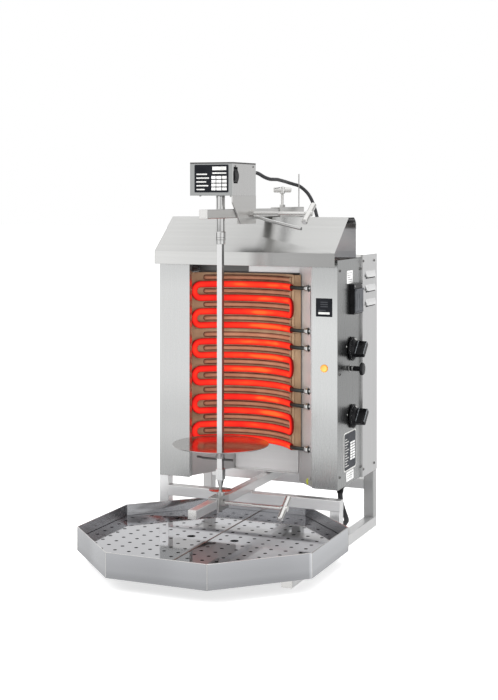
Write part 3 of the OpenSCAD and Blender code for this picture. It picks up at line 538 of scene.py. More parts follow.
def make_materials():
    return {
        "steel_x": tube_steel("tube_across", "x", 0.95),
        "steel_y": brushed_steel("steel_brushed_y", "y", 0.72),
        "tube_y": tube_steel("tube_along", "y", 0.86),
        "steel_z": upright_steel("tube_upright"),
        "hood": hood_steel("steel_hood"),
        "spit": spit_steel("steel_spit"),
        "casing": panel_steel("steel_casing", 0.76, ((0.0, 0.66), (0.25, 0.86), (0.5, 1.0),
                                                     (0.85, 1.0), (1.0, 0.90))),
        "control": control_steel("steel_control"),
        "matt": brushed_steel("steel_matt", "z", 0.96, 0.40, (1.0, 1.0, 1.0)),
        "tray": tray_steel("steel_tray"),
        "motor": motor_steel("steel_motor"),
        "dark": brushed_steel("steel_dark", "x", 0.18, 0.4),
        "screw": brushed_steel("steel_screw", "x", 0.35, 0.3),
        "satin": brushed_steel("steel_satin", "x", 0.86, 0.22),
        "white_steel": white_steel("steel_white"),
        "splay": splay_steel("steel_splay"),
        "bright": polished_steel("steel_bright"),
        "mirror": polished_steel("steel_mirror", 0.68, 0.05, (0.985, 0.985, 1.02)),
        "disc": polished_steel("steel_disc", 0.56, 0.09, (1.0, 0.96, 0.94)),
        "cast": plastic("cast_metal", (0.2, 0.2, 0.21), 0.55, 0.6),
        "clay": fireclay("fireclay", (0.38, 0.235, 0.14), (0.50, 0.335, 0.205)),
        # The rib clay is coloured redder: painted glow from the hot tubes falling on the ribs.
        "clay_rib": fireclay("fireclay_rib_painted_glow", (0.48, 0.20, 0.115), (0.58, 0.28, 0.17)),
        # A thin dark band round each rib: painted shadow, with some soot.
        "soot": fireclay("fireclay_soot_and_painted_shadow", (0.14, 0.055, 0.035), (0.24, 0.10, 0.06)),
        "hot": hot_tube("hot_tube"),
        "cold": brushed_steel("cold_tube", "x", 0.11, 0.42, (0.9, 1.0, 0.97)),
        "black": plastic("black_plastic", (0.006, 0.006, 0.007), 0.34, 0.1, 0.3),
        "gloss": plastic("black_gloss", (0.004, 0.004, 0.005), 0.16, 0.03, 0.22),
        # Grey bars along the knob blades' edges: painted highlights.
        "edge": plastic("painted_edge_highlight", (0.26, 0.28, 0.30), 0.3, 0.02),
        "grey": plastic("grey_plastic", (0.085, 0.09, 0.10), 0.45),
        "red": plastic("red_plastic", (0.45, 0.02, 0.015), 0.3),
        "plate": plastic("black_plate", (0.006, 0.007, 0.010), 0.35, 0.02, 0.18),
        "mark": plastic("pale_print", (0.62, 0.62, 0.60), 0.5, 0.02),
        "paper": plastic("paper", (0.80, 0.80, 0.79), 0.6, 0.05),
        "print": plastic("grey_print", (0.045, 0.048, 0.055), 0.5, 0.02, 0.25),
        # Black in screw recesses and in louver and vent slots: painted shade.
        "gap": plastic("painted_recess_shade", (0.006, 0.006, 0.006), 0.7, 0.02),
        "rubber": plastic("cord_rubber", (0.022, 0.022, 0.025), 0.5),
        "amber": plastic("amber_bezel", (0.75, 0.28, 0.03), 0.25, 0.02),
        "lamp": glowing("signal_lamp", (1.0, 0.52, 0.10), 1.1),
        "earth": plastic("earth_wire", (0.55, 0.60, 0.03), 0.4, 0.02),
        "bronze": brushed_steel("steel_bronze", "y", 0.36, 0.3, (1.0, 0.80, 0.72)),
        "ivory": plastic("ivory_plastic", (0.6, 0.57, 0.48), 0.5),
    }


NODE_MATERIALS = {
    "steel_x": ["crossbars"],
    "motor": ["motor_housing"],
    "hood": ["hood"],
    "tube_y": ["base_rails", "lower_arm"],
    "steel_y": ["upper_arm", "arm_sleeve", "lower_saddle", "top_plate", "bottom_plate",
                "motor_bracket"],
    "tray": ["drip_tray"],
    "steel_z": ["uprights", "support_mast", "back_panel"],
    "casing": ["left_casing"],
    "control": ["control_casing"],
    "spit": ["spit"],
    "matt": ["side_panels"],
    # The motor lid is painted dark: painted shade for the shadow line along the lid's edge.
    "dark": ["heater_back", "motor_lid"],
    "screw": ["casing_screws", "disc_pin"],
    "white_steel": ["lower_reflector"],
    "splay": ["side_reflectors"],
    "satin": ["end_caps", "upper_clamp_screw", "lower_clamp_screw", "sleeve_screw"],
    "bright": ["element_nuts", "pull_handle", "drive_shaft", "coupling_collar", "bearing_cup"],
    "mirror": ["left_insert", "right_insert"],
    "disc": ["meat_disc"],
    "cast": ["gear_motor"],
    "clay": ["upper_tile", "middle_tile", "lower_tile"],
    "hot": ["upper_element", "middle_element", "lower_element"],
    "black": ["upper_knob", "lower_knob", "push_knob", "socket_box", "cord_gland", "rocker_switch"],
    "grey": ["switch_bodies", "socket_flap"],
    "red": ["mains_plug"],
    "plate": ["info_plates"],
    "rubber": ["mains_cord", "mains_coil", "motor_cable"],
    "lamp": ["signal_lamp"],
    "ivory": ["terminal_block"],
}
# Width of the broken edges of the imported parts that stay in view
EDGES = {
    0.0008: ["base_rails", "uprights", "crossbars", "support_mast", "lower_arm", "upper_arm",
             "arm_sleeve", "end_caps", "motor_bracket", "lower_saddle", "gear_motor",
             "switch_bodies", "terminal_block", "spit"],
    0.0005: ["left_casing", "control_casing", "top_plate", "bottom_plate", "back_panel",
             "side_panels", "lower_reflector", "side_reflectors", "hood", "motor_housing",
             "motor_lid", "element_nuts", "drive_shaft", "meat_disc", "drip_tray"],
}


def paint_nodes(materials):
    for key, names in NODE_MATERIALS.items():
        for name in names:
            data = NODES[name].data
            data.materials.clear()
            data.materials.append(materials[key])


def soften_nodes():
    for width, names in EDGES.items():
        for name in names:
            weld = NODES[name].modifiers.new("weld", "WELD")
            weld.merge_threshold = 0.00001
            soften(NODES[name], width)


# ---- Shapes ----

def unit(v):
    return Vector(v).normalized()


def smooth_path(points, step):
    """Points a step apart along a smooth curve through the given ones."""
    route = [Vector(p) for p in points]
    route = [2 * route[0] - route[1]] + route + [2 * route[-1] - route[-2]]
    path = [route[1]]
    for a, b, c, d in zip(route, route[1:], route[2:], route[3:]):
        count = max(1, round((c - b).length / step))
        for i in range(1, count + 1):
            t = i / count
            path.append(0.5 * (2 * b + (c - a) * t + (2 * a - 5 * b + 4 * c - d) * t * t
                               + (3 * b - a - 3 * c + d) * t ** 3))
    return path


def oval(wide, deep, count=16, power=1.0):
    """Points of an oval; a power under 1 squares it off."""
    points = []
    for i in range(count):
        c, s = math.cos(math.tau * i / count), math.sin(math.tau * i / count)
        points.append((math.copysign(abs(c) ** power, c) * wide / 2,
                       math.copysign(abs(s) ** power, s) * deep / 2))
    return points


class Shape:
    """Collects solids, each with the index of its material, and builds them as one piece."""

    def __init__(self):
        self.points = []
        self.faces = []
        self.paints = []

    def add(self, points, faces, paint=0):
        start = len(self.points)
        self.points += [Vector(p) for p in points]
        self.faces += [[start + i for i in face] for face in faces]
        self.paints += [paint] * len(faces)

    def rings(self, rings, paint=0, closed=False):
        """A skin over rings of equally many points, with a cap on each end."""
        count = len(rings[0])
        faces = []
        for i in range(len(rings) if closed else len(rings) - 1):
            a, b = i * count, (i + 1) % len(rings) * count
            for k in range(count):
                n = (k + 1) % count
                faces.append((a + k, a + n, b + n, b + k))
        if not closed:
            faces.append(tuple(reversed(range(count))))
            faces.append(tuple(range((len(rings) - 1) * count, len(rings) * count)))
        self.add([p for ring in rings for p in ring], faces, paint)

    def lathe(self, profile, place, axis, paint=0, sides=40):
        """A solid of revolution; the profile is (radius, height) pairs along the axis."""
        z = unit(axis)
        x = z.orthogonal().normalized()
        y = z.cross(x)
        spokes = [x * math.cos(math.tau * k / sides) + y * math.sin(math.tau * k / sides)
                  for k in range(sides)]
        self.rings([[Vector(place) + z * h + s * r for s in spokes] for r, h in profile], paint)

    def box(self, low, high, paint=0, chamfer=0.0):
        self.prism([(low[0], low[1]), (high[0], low[1]), (high[0], high[1]), (low[0], high[1])],
                   low[2], high[2], "z", paint, chamfer)

    def prism(self, outline, start, end, axis="z", paint=0, chamfer=0.0):
        """An outline extruded along an axis; the chamfer pulls both ends in towards the middle."""
        order = {"z": (0, 1, 2), "x": (2, 0, 1), "y": (0, 2, 1)}[axis]
        middle = [sum(p[i] for p in outline) / len(outline) for i in (0, 1)]

        def ring(height, inset):
            points = []
            for p in outline:
                span = [p[i] - middle[i] for i in (0, 1)]
                shrunk = [middle[i] + math.copysign(max(abs(span[i]) - inset, 0), span[i])
                          for i in (0, 1)]
                values = (*shrunk, height)
                points.append([values[order[i]] for i in range(3)])
            return points
        if chamfer:
            heights = ((start, chamfer), (start + chamfer, 0), (end - chamfer, 0), (end, chamfer))
        else:
            heights = ((start, 0), (end, 0))
        self.rings([ring(h, inset) for h, inset in heights], paint)

    def tube(self, path, radius, paint=0, sides=16, round_ends=False):
        """A round bar along a path, with domed ends if wanted."""
        path = [Vector(p) for p in path]
        radii = [radius] * len(path)
        if round_ends:
            for end, step in ((0, 1), (len(path) - 1, -1)):
                out = (path[end] - path[end + step]).normalized()
                caps = [(path[end] + out * radius * math.sin(a), radius * math.cos(a))
                        for a in (0.5, 0.95, 1.3, 1.52)]
                if end:
                    path += [p for p, r in caps]
                    radii += [r for p, r in caps]
                else:
                    path = [p for p, r in reversed(caps)] + path
                    radii = [r for p, r in reversed(caps)] + radii
        side = (path[1] - path[0]).orthogonal().normalized()
        rings = []
        for i, p in enumerate(path):
            along = (path[min(i + 1, len(path) - 1)] - path[max(i - 1, 0)]).normalized()
            side = (side - along * side.dot(along)).normalized()
            up = along.cross(side)
            rings.append([p + (side * c + up * s) * radii[i] for c, s in oval(2, 2, sides)])
        self.rings(rings, paint)

    def build(self, name, body, materials, replaces=(), bevel=0.0, angle=35):
        mesh = bpy.data.meshes.new(name)
        mesh.from_pydata(self.points, [], self.faces)
        mesh.polygons.foreach_set("material_index", self.paints)
        for material in materials:
            mesh.materials.append(material)
        tidy = bmesh.new()
        tidy.from_mesh(mesh)
        bmesh.ops.recalc_face_normals(tidy, faces=tidy.faces)
        tidy.to_mesh(mesh)
        tidy.free()
        mesh.shade_smooth()
        mesh.set_sharp_from_angle(angle=math.radians(angle))
        piece = bpy.data.objects.new(name, mesh)
        bpy.context.scene.collection.objects.link(piece)
        if bevel:
            soften(piece, bevel)
        if body:
            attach(piece, body)
        if replaces:
            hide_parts(*replaces)
        return piece


def soften(piece, width, segments=2):
    """Breaks the sharp edges, so that they catch the light."""
    edge = piece.modifiers.new("edges", "BEVEL")
    edge.width = width
    edge.segments = segments
    edge.limit_method = "ANGLE"
    edge.angle_limit = math.radians(38)
    edge.harden_normals = True


# ---- Cords ----

def cord_curve(name, path, diameter, material):
    data = bpy.data.curves.new(name, "CURVE")
    data.dimensions = "3D"
    data.bevel_depth = diameter / 2
    data.bevel_resolution = 5
    data.use_fill_caps = True
    spline = data.splines.new("POLY")
    spline.points.add(len(path) - 1)
    for point, place in zip(spline.points, path):
        point.co = (*place, 1)
    data.materials.append(material)
    piece = bpy.data.objects.new(name, data)
    bpy.context.scene.collection.objects.link(piece)
    return piece


def coil_points():
    """Turns from the outer lower ring inwards, up, and outwards, ending where the tail leaves."""
    half = CORD_D / 2
    outer, inner = COIL_RADIUS + half, COIL_RADIUS - half
    low, high = half + LIFT, half + LIFT + CORD_D
    stations = ((0.0, outer, low), (0.9, outer, low), (1.1, inner, low), (1.9, inner, low),
                (2.15, inner, high), (2.9, inner, high), (3.12, outer, high),
                (COIL_TURNS, outer, high))
    points = []
    count = round(COIL_TURNS * 40)
    for i in range(count + 1):
        turn = COIL_TURNS * i / count
        for (t0, r0, z0), (t1, r1, z1) in zip(stations, stations[1:]):
            if t0 <= turn <= t1:
                f = (turn - t0) / (t1 - t0)
                f = f * f * (3 - 2 * f)
                radius, height = r0 + (r1 - r0) * f, z0 + (z1 - z0) * f
        angle = math.radians(COIL_START) + math.tau * turn
        points.append(Vector((COIL_CENTRE[0] + radius * math.cos(angle),
                              COIL_CENTRE[1] + radius * math.sin(angle), height)))
    return points


def make_mains_lead(mats):
    coil = coil_points()
    before = coil[0] + (coil[0] - coil[1])
    path = smooth_path(CORD_ROUTE + [before], 0.006)[:-1] + coil
    path += smooth_path([coil[-1]] + TAIL_ROUTE, 0.006)[1:]
    cord = cord_curve("mains_lead", path, CORD_D, mats["rubber"])
    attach(cord, "stand")
    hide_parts("mains_cord", "mains_coil")
    gland = make_gland(mats)
    plug = make_plug(mats)


def make_gland(mats):
    x, y, z = CORD_ROUTE[0]
    shape = Shape()
    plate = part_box("bottom_plate")[0][2] - z
    half = CORD_D / 2
    ribs = 5
    step = (plate - 0.009) / ribs
    sleeve = [(half + 0.0008, 0)]
    for i in range(ribs):
        r = half + 0.0014 + 0.0004 * i
        sleeve += [(r, step * i + 0.0003), (r + 0.0002, step * (i + 0.6)),
                   (r - 0.0006, step * (i + 0.7)), (r - 0.0006, step * (i + 0.95))]
    sleeve += [(0.0096, plate - 0.009)]
    shape.lathe(sleeve, (x, y, z), (0, 0, 1))
    shape.lathe([(0.0122, plate - 0.009), (0.0128, plate - 0.008),
                 (0.0128, plate - 0.0015), (0.0120, plate - 0.0001)],
                (x, y, z), (0, 0, 1), sides=6)
    shape.lathe([(0.0072, plate - 0.0002), (0.0072, plate + 0.0078)], (x, y, z), (0, 0, 1))
    return shape.build("lead_gland", "stand", [mats["black"]],
                       ["cord_gland"], 0.0004)


def make_plug(mats):
    x, y, z = PLUG_PLACE
    axis = (1, 0, 0)
    shape = Shape()
    body = [(0.0200, 0.0), (0.0240, 0.002), (0.0240, 0.018), (0.0225, 0.020), (0.0225, 0.072),
            (0.0210, 0.078), (0.0145, 0.0799)]
    shape.lathe(body, (x, y, z), axis, 0, 48)
    boot = [(0.0130, 0.0798), (0.0128, 0.084), (0.0105, 0.086), (0.0105, 0.088), (0.0098, 0.090),
            (0.0098, 0.093), (0.0088, 0.095), (0.0088, 0.098), (0.0075, 0.1019)]
    shape.lathe(boot, (x, y, z), axis, 1)
    shroud = [(0.0268, 0.0008), (0.0270, -0.002), (0.0270, -0.030), (0.0262, -0.032),
              (0.0246, -0.032), (0.0240, -0.030), (0.0240, -0.003), (0.0100, -0.0028)]
    shape.lathe(shroud, (x, y, z), axis, 0, 48)
    for k in range(16):
        turn = math.tau * k / 16
        place = (x + 0.022, y + 0.0226 * math.cos(turn), z + 0.0226 * math.sin(turn))
        shape.lathe([(0.0012, 0), (0.0014, 0.002), (0.0014, 0.046), (0.0010, 0.048)],
                    place, axis, 0, 8)
    for k in range(5):
        turn = math.tau * k / 5
        place = (x, y + 0.015 * math.sin(turn), z + 0.015 * math.cos(turn))
        shape.lathe([(0.0025, -0.003), (0.0025, -0.024), (0.0019, -0.026)], place, axis, 2, 16)
    return shape.build("plug", "stand", [mats["red"], mats["grey"], mats["bright"]],
                       ["mains_plug"], 0.0003)


def make_motor_lead(mats):
    path = smooth_path(LEAD_ROUTE, 0.008)
    shape = Shape()
    shape.tube(path, LEAD_D / 2, sides=14)
    lead = shape.build("motor_lead", None, [mats["rubber"]],
                       ["motor_cable"])
    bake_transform(lead)


# ---- Heater ----

def on_heater(angle, z, radius=HEATER_RADIUS):
    turn = math.radians(angle)
    return Vector((HEATER_CENTRE[0] + radius * math.sin(turn),
                   HEATER_CENTRE[1] + radius * math.cos(turn), z))


def to_front(place):
    return unit((HEATER_CENTRE[0] - place.x, HEATER_CENTRE[1] - place.y, 0))


def element_path(top):
    """Four passes joined by half turns, from the upper hot end to the lower one."""
    steps = []
    rows = ((HOT_END, TURN_LEFT), (TURN_LEFT, TURN_RIGHT), (TURN_RIGHT, TURN_LEFT),
            (TURN_LEFT, HOT_END))
    for row, (start, end) in enumerate(rows):
        z = top - row * PASS_PITCH
        count = 30
        steps += [(start + (end - start) * i / count, z) for i in range(count + 1)]
        if row < 3:
            side = 1 if end > 0 else -1
            reach = math.degrees(PASS_PITCH / 2 / HEATER_RADIUS)
            for i in range(1, 14):
                turn = math.pi * i / 14
                steps.append((end + side * reach * math.sin(turn),
                              z - PASS_PITCH / 2 * (1 - math.cos(turn))))
    return [on_heater(angle, z) for angle, z in steps]


def sweep_on_heater(shape, path, wide, deep, paint=0, taper=None, power=1.0):
    """Sweeps an oval that keeps its flat side to the front."""
    rings = []
    for i, p in enumerate(path):
        along = (path[min(i + 1, len(path) - 1)] - path[max(i - 1, 0)]).normalized()
        front = to_front(p)
        up = along.cross(front)
        size = taper(i) if taper else 1.0
        rings.append([p + up * a * size + front * b * size for a, b in oval(wide, deep, 20, power)])
    shape.rings(rings, paint)


def make_element(name, top, mats):
    shape = Shape()
    path = element_path(top)
    sweep_on_heater(shape, path, ELEMENT_TALL, ELEMENT_DEEP)
    for row in (0, 3):
        z = top - row * PASS_PITCH
        start = on_heater(HOT_END - 1.2, z)
        heading = unit((math.cos(math.radians(HOT_END)), -math.sin(math.radians(HOT_END)), 0))
        goal = Vector((NUT_PLACE[0] + 0.004, NUT_PLACE[1], z))
        controls = (start, start + heading * 0.016, goal - Vector((0.026, 0, 0)), goal)
        curve = []
        for i in range(13):
            t = i / 12
            weights = ((1 - t) ** 3, 3 * t * (1 - t) ** 2, 3 * t * t * (1 - t), t ** 3)
            curve.append(sum((c * w for c, w in zip(controls, weights)), Vector((0, 0, 0))))
        shape.tube(curve, 0.0045, 1, 18)
        shape.lathe([(0.0062, 0), (0.0066, 0.0006), (0.0066, 0.0026), (0.0060, 0.003)],
                    (NUT_PLACE[0] - 0.0075, NUT_PLACE[1], z), (1, 0, 0), 2, 24)
        shape.lathe([(0.0040, 0), (0.0040, 0.004), (0.0032, 0.005)],
                    (NUT_PLACE[0] + 0.0035, NUT_PLACE[1], z), (1, 0, 0), 2, 16)
    return shape.build(name + "_tube", "stand",
                       [mats["hot"], mats["cold"], mats["bright"]], [name], angle=50)


def make_tile(name, low, high, first_pass, mats):
    """A curved clay tile with a flat margin and a rounded rib between each two passes."""
    shape = Shape()
    angles = [-52 + 104 * i / 40 for i in range(41)]
    wall = [[on_heater(a, low, TILE_FACE), on_heater(a, high, TILE_FACE),
             on_heater(a, high, TILE_BACK), on_heater(a, low, TILE_BACK)] for a in angles]
    shape.rings(wall)
    shape.prism([(x * MM, y * MM) for x, y in TILE_MARGIN], low, high)
    shape.box((0.1015, 0.1285, low), (0.1065, 0.1445, high))
    for i in range(-1, 5):
        z = first_pass - (i + 0.5) * PASS_PITCH
        if z - 0.005 < low or z + 0.005 > high:
            continue
        # First a thin dark band a little wider than the rib, painted shadow with some soot; then the rib
        # itself, its clay painted redder with glow from the tubes.
        for wide, deep, radius, paint in ((0.0135, 0.0012, TILE_FACE, 1),
                                          (0.0085, 0.0085, TILE_FACE - 0.0005, 2)):
            reach = wide / 2
            left, right = RIB_LEFT, RIB_RIGHT
            count = 44
            ends = math.degrees(reach / radius)
            grades = [1 - math.cos(math.pi * k / 12) for k in range(1, 7)]
            path_angles = [left - ends + ends * g for g in grades]
            path_angles += [left + (right - left) * k / count for k in range(1, count)]
            path_angles += [right + ends - ends * g for g in reversed(grades)]
            sizes = [math.sqrt(max(0.02, 1 - (1 - g) ** 2)) for g in grades]
            sizes += [1.0] * (count - 1) + list(reversed(sizes))
            path = [on_heater(a, z, radius) for a in path_angles]
            sweep_on_heater(shape, path, wide, deep, paint, lambda k: sizes[k], 0.8)
        tab = [on_heater(RIB_RIGHT + turn, z, TILE_FACE - 0.001) for turn in (1.2, 1.8, 3.4, 4.0)]
        sweep_on_heater(shape, tab, 0.013, 0.006, 0, None, 0.6)
    return shape.build(name + "_body", "stand",
                       [mats["clay"], mats["soot"], mats["clay_rib"]], [name])


# ---- Controls ----

def make_knob(name, place, mats):
    """A skirted knob: domed skirt with a pale rim mark, and a flared blade to turn it by."""
    x, y, z = place
    axis = (1, 0, 0)
    shape = Shape()
    shape.lathe([(0.0270, 0), (0.0280, 0.0010), (0.0280, 0.0034), (0.0272, 0.0046),
                 (0.0262, 0.0050), (0.0225, 0.0078), (0.0195, 0.0105), (0.0185, 0.0118),
                 (0.0160, 0.0122)], (x, y, z), axis, 0, 64)
    for k in range(36):
        turn = math.tau * k / 36
        reach = 0.0262
        spot = (x + 0.0046, y + reach * math.cos(turn), z + reach * math.sin(turn))
        shape.lathe([(0.0004, 0), (0.0004, 0.0005)], spot, axis, 1, 6)
    lean = math.radians(-45)
    across = Vector((0, math.cos(lean), math.sin(lean)))
    along = Vector((0, -math.sin(lean), math.cos(lean)))
    blade = []
    for out, tall, thick in ((0.0100, 0.0405, 0.0160), (0.0140, 0.0400, 0.0148),
                             (0.0230, 0.0395, 0.0140), (0.0326, 0.0390, 0.0136),
                             (0.0340, 0.0378, 0.0122)):
        blade.append([Vector((x + out, y, z)) + across * a + along * b
                      for a, b in oval(thick, tall, 32, 0.18)])
    shape.rings(blade)
    # Thin grey bars along the blade's long edges: painted highlights where the edges catch the light.
    for out in (0.0135, 0.0335):
        shape.tube([Vector((x + out, y, z)) - across * 0.0071 + along * h for h in (-0.0185, 0.0185)],
                   0.0007, 2, 8, True)
    shape.box((x + 0.0060, y - 0.0010, z + 0.0200), (x + 0.0104, y + 0.0010, z + 0.0245), 1)
    return shape.build(name + "_grip", "power_knob_" + name.split("_")[0],
                       [mats["gloss"], mats["mark"], mats["edge"]], [name], 0.0003)


def make_push_knob(mats):
    x, (y, z) = PANEL_X, PUSH_PLACE
    axis = (1, 0, 0)
    shape = Shape()
    shape.lathe([(0.0040, -0.0210), (0.0040, -0.0004), (0.0058, 0.0), (0.0058, 0.0238),
                 (0.0075, 0.0252)], (x + 0.001, y, z), axis)
    shape.lathe([(0.0080, 0.0250), (0.0120, 0.0256), (0.0147, 0.0276), (0.0150, 0.0296),
                 (0.0146, 0.0318), (0.0130, 0.0334), (0.0090, 0.0340), (0.0030, 0.0342)],
                (x + 0.001, y, z), axis, 0, 56)
    shape.lathe([(0.0060, 0.0050), (0.0064, 0.0054), (0.0064, 0.0080), (0.0060, 0.0084)],
                (x + 0.001, y, z), axis, 1)
    return shape.build("pull_switch_grip", "pull_switch",
                       [mats["gloss"], mats["bright"]], ["push_knob"], 0.0002)


def make_switch_collars(mats):
    """Threaded collar of the pull switch, and the pale dots beside the knobs."""
    shape = Shape()
    x = PANEL_X
    shape.lathe([(0.0092, 0.0001), (0.0092, 0.0008), (0.0086, 0.0014), (0.0072, 0.0016),
                 (0.0072, 0.0002)], (x, *PUSH_PLACE), (1, 0, 0), 0, 6)
    for y, z in KNOB_PLACES:
        shape.lathe([(0.0016, 0.0001), (0.0016, 0.0005)], (x, y - 0.0345, z + 0.008), (1, 0, 0), 1, 20)
    return shape.build("switch_collar", "stand", [mats["bright"], mats["mark"]])


def make_socket(mats):
    low, high = (Vector(v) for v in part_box("socket_box"))
    shape = Shape()
    depth = high.x - low.x
    outline = [(low.y, low.z), (high.y, low.z), (high.y, high.z), (low.y, high.z)]
    shape.prism(outline, low.x, low.x + 0.0040, "x", 0)
    rim = 0.010
    for y0, z0, y1, z1 in ((low.y, low.z, low.y + rim, high.z), (high.y - rim, low.z, high.y, high.z),
                           (low.y + rim, low.z, high.y - rim, low.z + 0.014),
                           (low.y + rim, high.z - 0.020, high.y - rim, high.z)):
        shape.box((low.x + 0.0039, y0, z0), (low.x + depth, y1, z1))
    middle = (low.y + high.y) / 2
    shape.lathe([(0.0172, 0.0), (0.0172, 0.0022), (0.0150, 0.0022), (0.0148, 0.0004)],
                (low.x + 0.0040, middle, low.z + 0.0285), (1, 0, 0), 0, 40)
    for side in (-1, 1):
        shape.lathe([(0.0026, 0.0), (0.0026, 0.0008)],
                    (low.x + 0.0040, middle + side * 0.0095, low.z + 0.0285), (1, 0, 0), 1, 16)
    for y in (low.y + 0.006, high.y - 0.006):
        screw_head(shape, (high.x - 0.0004, y, high.z - 0.006), (1, 0, 0), 0.0022, 1)
    return shape.build("socket_frame", "stand", [mats["gloss"], mats["bright"]],
                       ["socket_box"], 0.0005)


def make_flap(mats):
    low, high = (Vector(v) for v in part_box("socket_flap"))
    shape = Shape()
    face = low.x + 0.0026
    shape.box((low.x, low.y, low.z), (face, high.y, high.z - 0.0030), 0, 0.0006)
    shape.box((low.x, low.y + 0.004, low.z), (face + 0.0012, high.y - 0.004, low.z + 0.0035), 0, 0.0004)
    shape.tube([(face, low.y, FLAP_HINGE_Z), (face, high.y, FLAP_HINGE_Z)], 0.0025, 0, 18)
    for k in range(3):
        y = low.y + 0.010 + k * 0.018
        shape.box((face - 0.0002, y, low.z + 0.010), (face + 0.0006, y + 0.0012, high.z - 0.012), 0)
    return shape.build("socket_cover", "flap", [mats["grey"]], ["socket_flap"],
                       0.0005)


def make_lamp(mats):
    x, z = LAMP_PLACE
    y = FRONT_Y
    shape = Shape()
    shape.lathe([(0.0060, -0.0180), (0.0068, -0.0178), (0.0068, -0.0002), (0.0088, 0.0),
                 (0.0090, 0.0010), (0.0086, 0.0022), (0.0076, 0.0030), (0.0072, 0.0028)],
                (x, y, z), (0, -1, 0), 0, 40)
    dome = [(0.0071 * math.cos(a), 0.0026 + 0.0034 * math.sin(a))
            for a in (0.0, 0.25, 0.5, 0.8, 1.1, 1.4, 1.53)]
    shape.lathe([(0.0071, 0.0010)] + dome, (x, y, z), (0, -1, 0), 1, 40)
    return shape.build("lamp_lens", "stand", [mats["amber"], mats["lamp"]],
                       ["signal_lamp"])


def screw_head(shape, place, axis, radius, paint=0, dark=None):
    """A pan head with a cross recess drawn as two sunk bars, which take the dark paint given: painted shade
    in the recess.
    """
    shape.lathe([(radius, 0), (radius, radius * 0.25), (radius * 0.9, radius * 0.5),
                 (radius * 0.6, radius * 0.68), (radius * 0.15, radius * 0.72)],
                place, axis, paint, 24)
    if dark is None:
        return
    out = unit(axis)
    side = out.orthogonal().normalized()
    up = out.cross(side)
    base = Vector(place) + out * radius * 0.66
    for a, b in ((side, up), (up, side)):
        corners = [base + a * s * radius * 0.55 + b * t * radius * 0.1
                   for s, t in ((-1, -1), (1, -1), (1, 1), (-1, 1))]
        shape.rings([corners, [c + out * radius * 0.1 for c in corners]], dark)


def make_casing_screws(mats):
    shape = Shape()
    radius, tall = 0.00325, 0.0024
    rear_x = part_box("casing_screws")[1][0] - tall
    for side in (-1, 1):
        for x, places in ((PANEL_X, FRONT_SCREWS), (rear_x, REAR_SCREWS)):
            for y, z in places:
                screw_head(shape, (side * x, y, z), (side, 0, 0), radius, 0, 1)
    return shape.build("cover_screws", "stand", [mats["screw"], mats["gap"]],
                       ["casing_screws"])


def make_louvers(mats):
    """Pressed louvers over the slots of the rear covers, and the covers' folded front edges."""
    shape = Shape()
    low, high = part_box("side_panels")
    depth, steps = 0.0045, 24
    skin = high[0] - 0.0040
    y0, y1 = LOUVER_YS
    profile = ((0.0004, 0.0), (-0.0035, 0.35), (-0.0085, 0.78), (-0.0130, 1.0),
               (-0.0146, 0.98), (-0.0146, 0.80), (-0.0100, 0.50), (0.0, -0.05))
    for side in (-1, 1):
        slot = sorted((side * (skin + 0.0002), side * (skin - 0.0004)))
        for top in LOUVER_TOPS:
            rings = []
            for k in range(steps + 1):
                f = k / steps
                y = y0 + (y1 - y0) * f
                swell = min(1.0, math.sin(math.pi * f) * 3.2) ** 0.6 if 0 < k < steps else 0.12
                drop = 0.35 + 0.65 * swell
                rings.append([(side * (skin + depth * out * swell), y, top + down * drop)
                              for down, out in profile])
            shape.rings(rings)
            # A black bar in the slot under each louver: painted shade in the opening.
            shape.box((slot[0], y0 + 0.003, top - 0.0178), (slot[1], y1 - 0.003, top - 0.0140), 2)
        edge = sorted((side * (PANEL_X + 0.0002), side * (skin - 0.0012)))
        shape.box((edge[0], low[1] + 0.0001, low[2]), (edge[1], low[1] + 0.0011, high[2]), 1)
    return shape.build("louver_scoops", "stand",
                       [mats["white_steel"], mats["matt"], mats["gap"]])


def make_back_screws(mats):
    """Screws and vent slots on the rear wall and the roof, where the covers are fixed."""
    shape = Shape()
    low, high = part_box("back_panel")
    for x in (-0.19, -0.07, 0.09, 0.19):
        for z in (low[2] + 0.02, (low[2] + high[2]) / 2, high[2] - 0.02):
            screw_head(shape, (x, high[1], z), (0, 1, 0), 0.003, 0, 1)
    for side in (-1, 1):
        # Black bars for the vent slots: painted shade in the openings.
        for k in range(9):
            z = 0.46 + k * 0.016
            path = [(side * 0.175, high[1] + 0.0004, z), (side * 0.075, high[1] + 0.0004, z)]
            shape.tube(path, 0.0022, 1, 10, True)
    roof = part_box("top_plate")[0][2] + 0.0012
    for x in (-0.2, -0.1, 0.15, 0.2):
        screw_head(shape, (x, 0.232, roof), (0, 0, 1), 0.003, 0, 1)
    return shape.build("rear_screws", "stand", [mats["screw"], mats["gap"]])


# ---- Plates, with plain bars in place of words ----

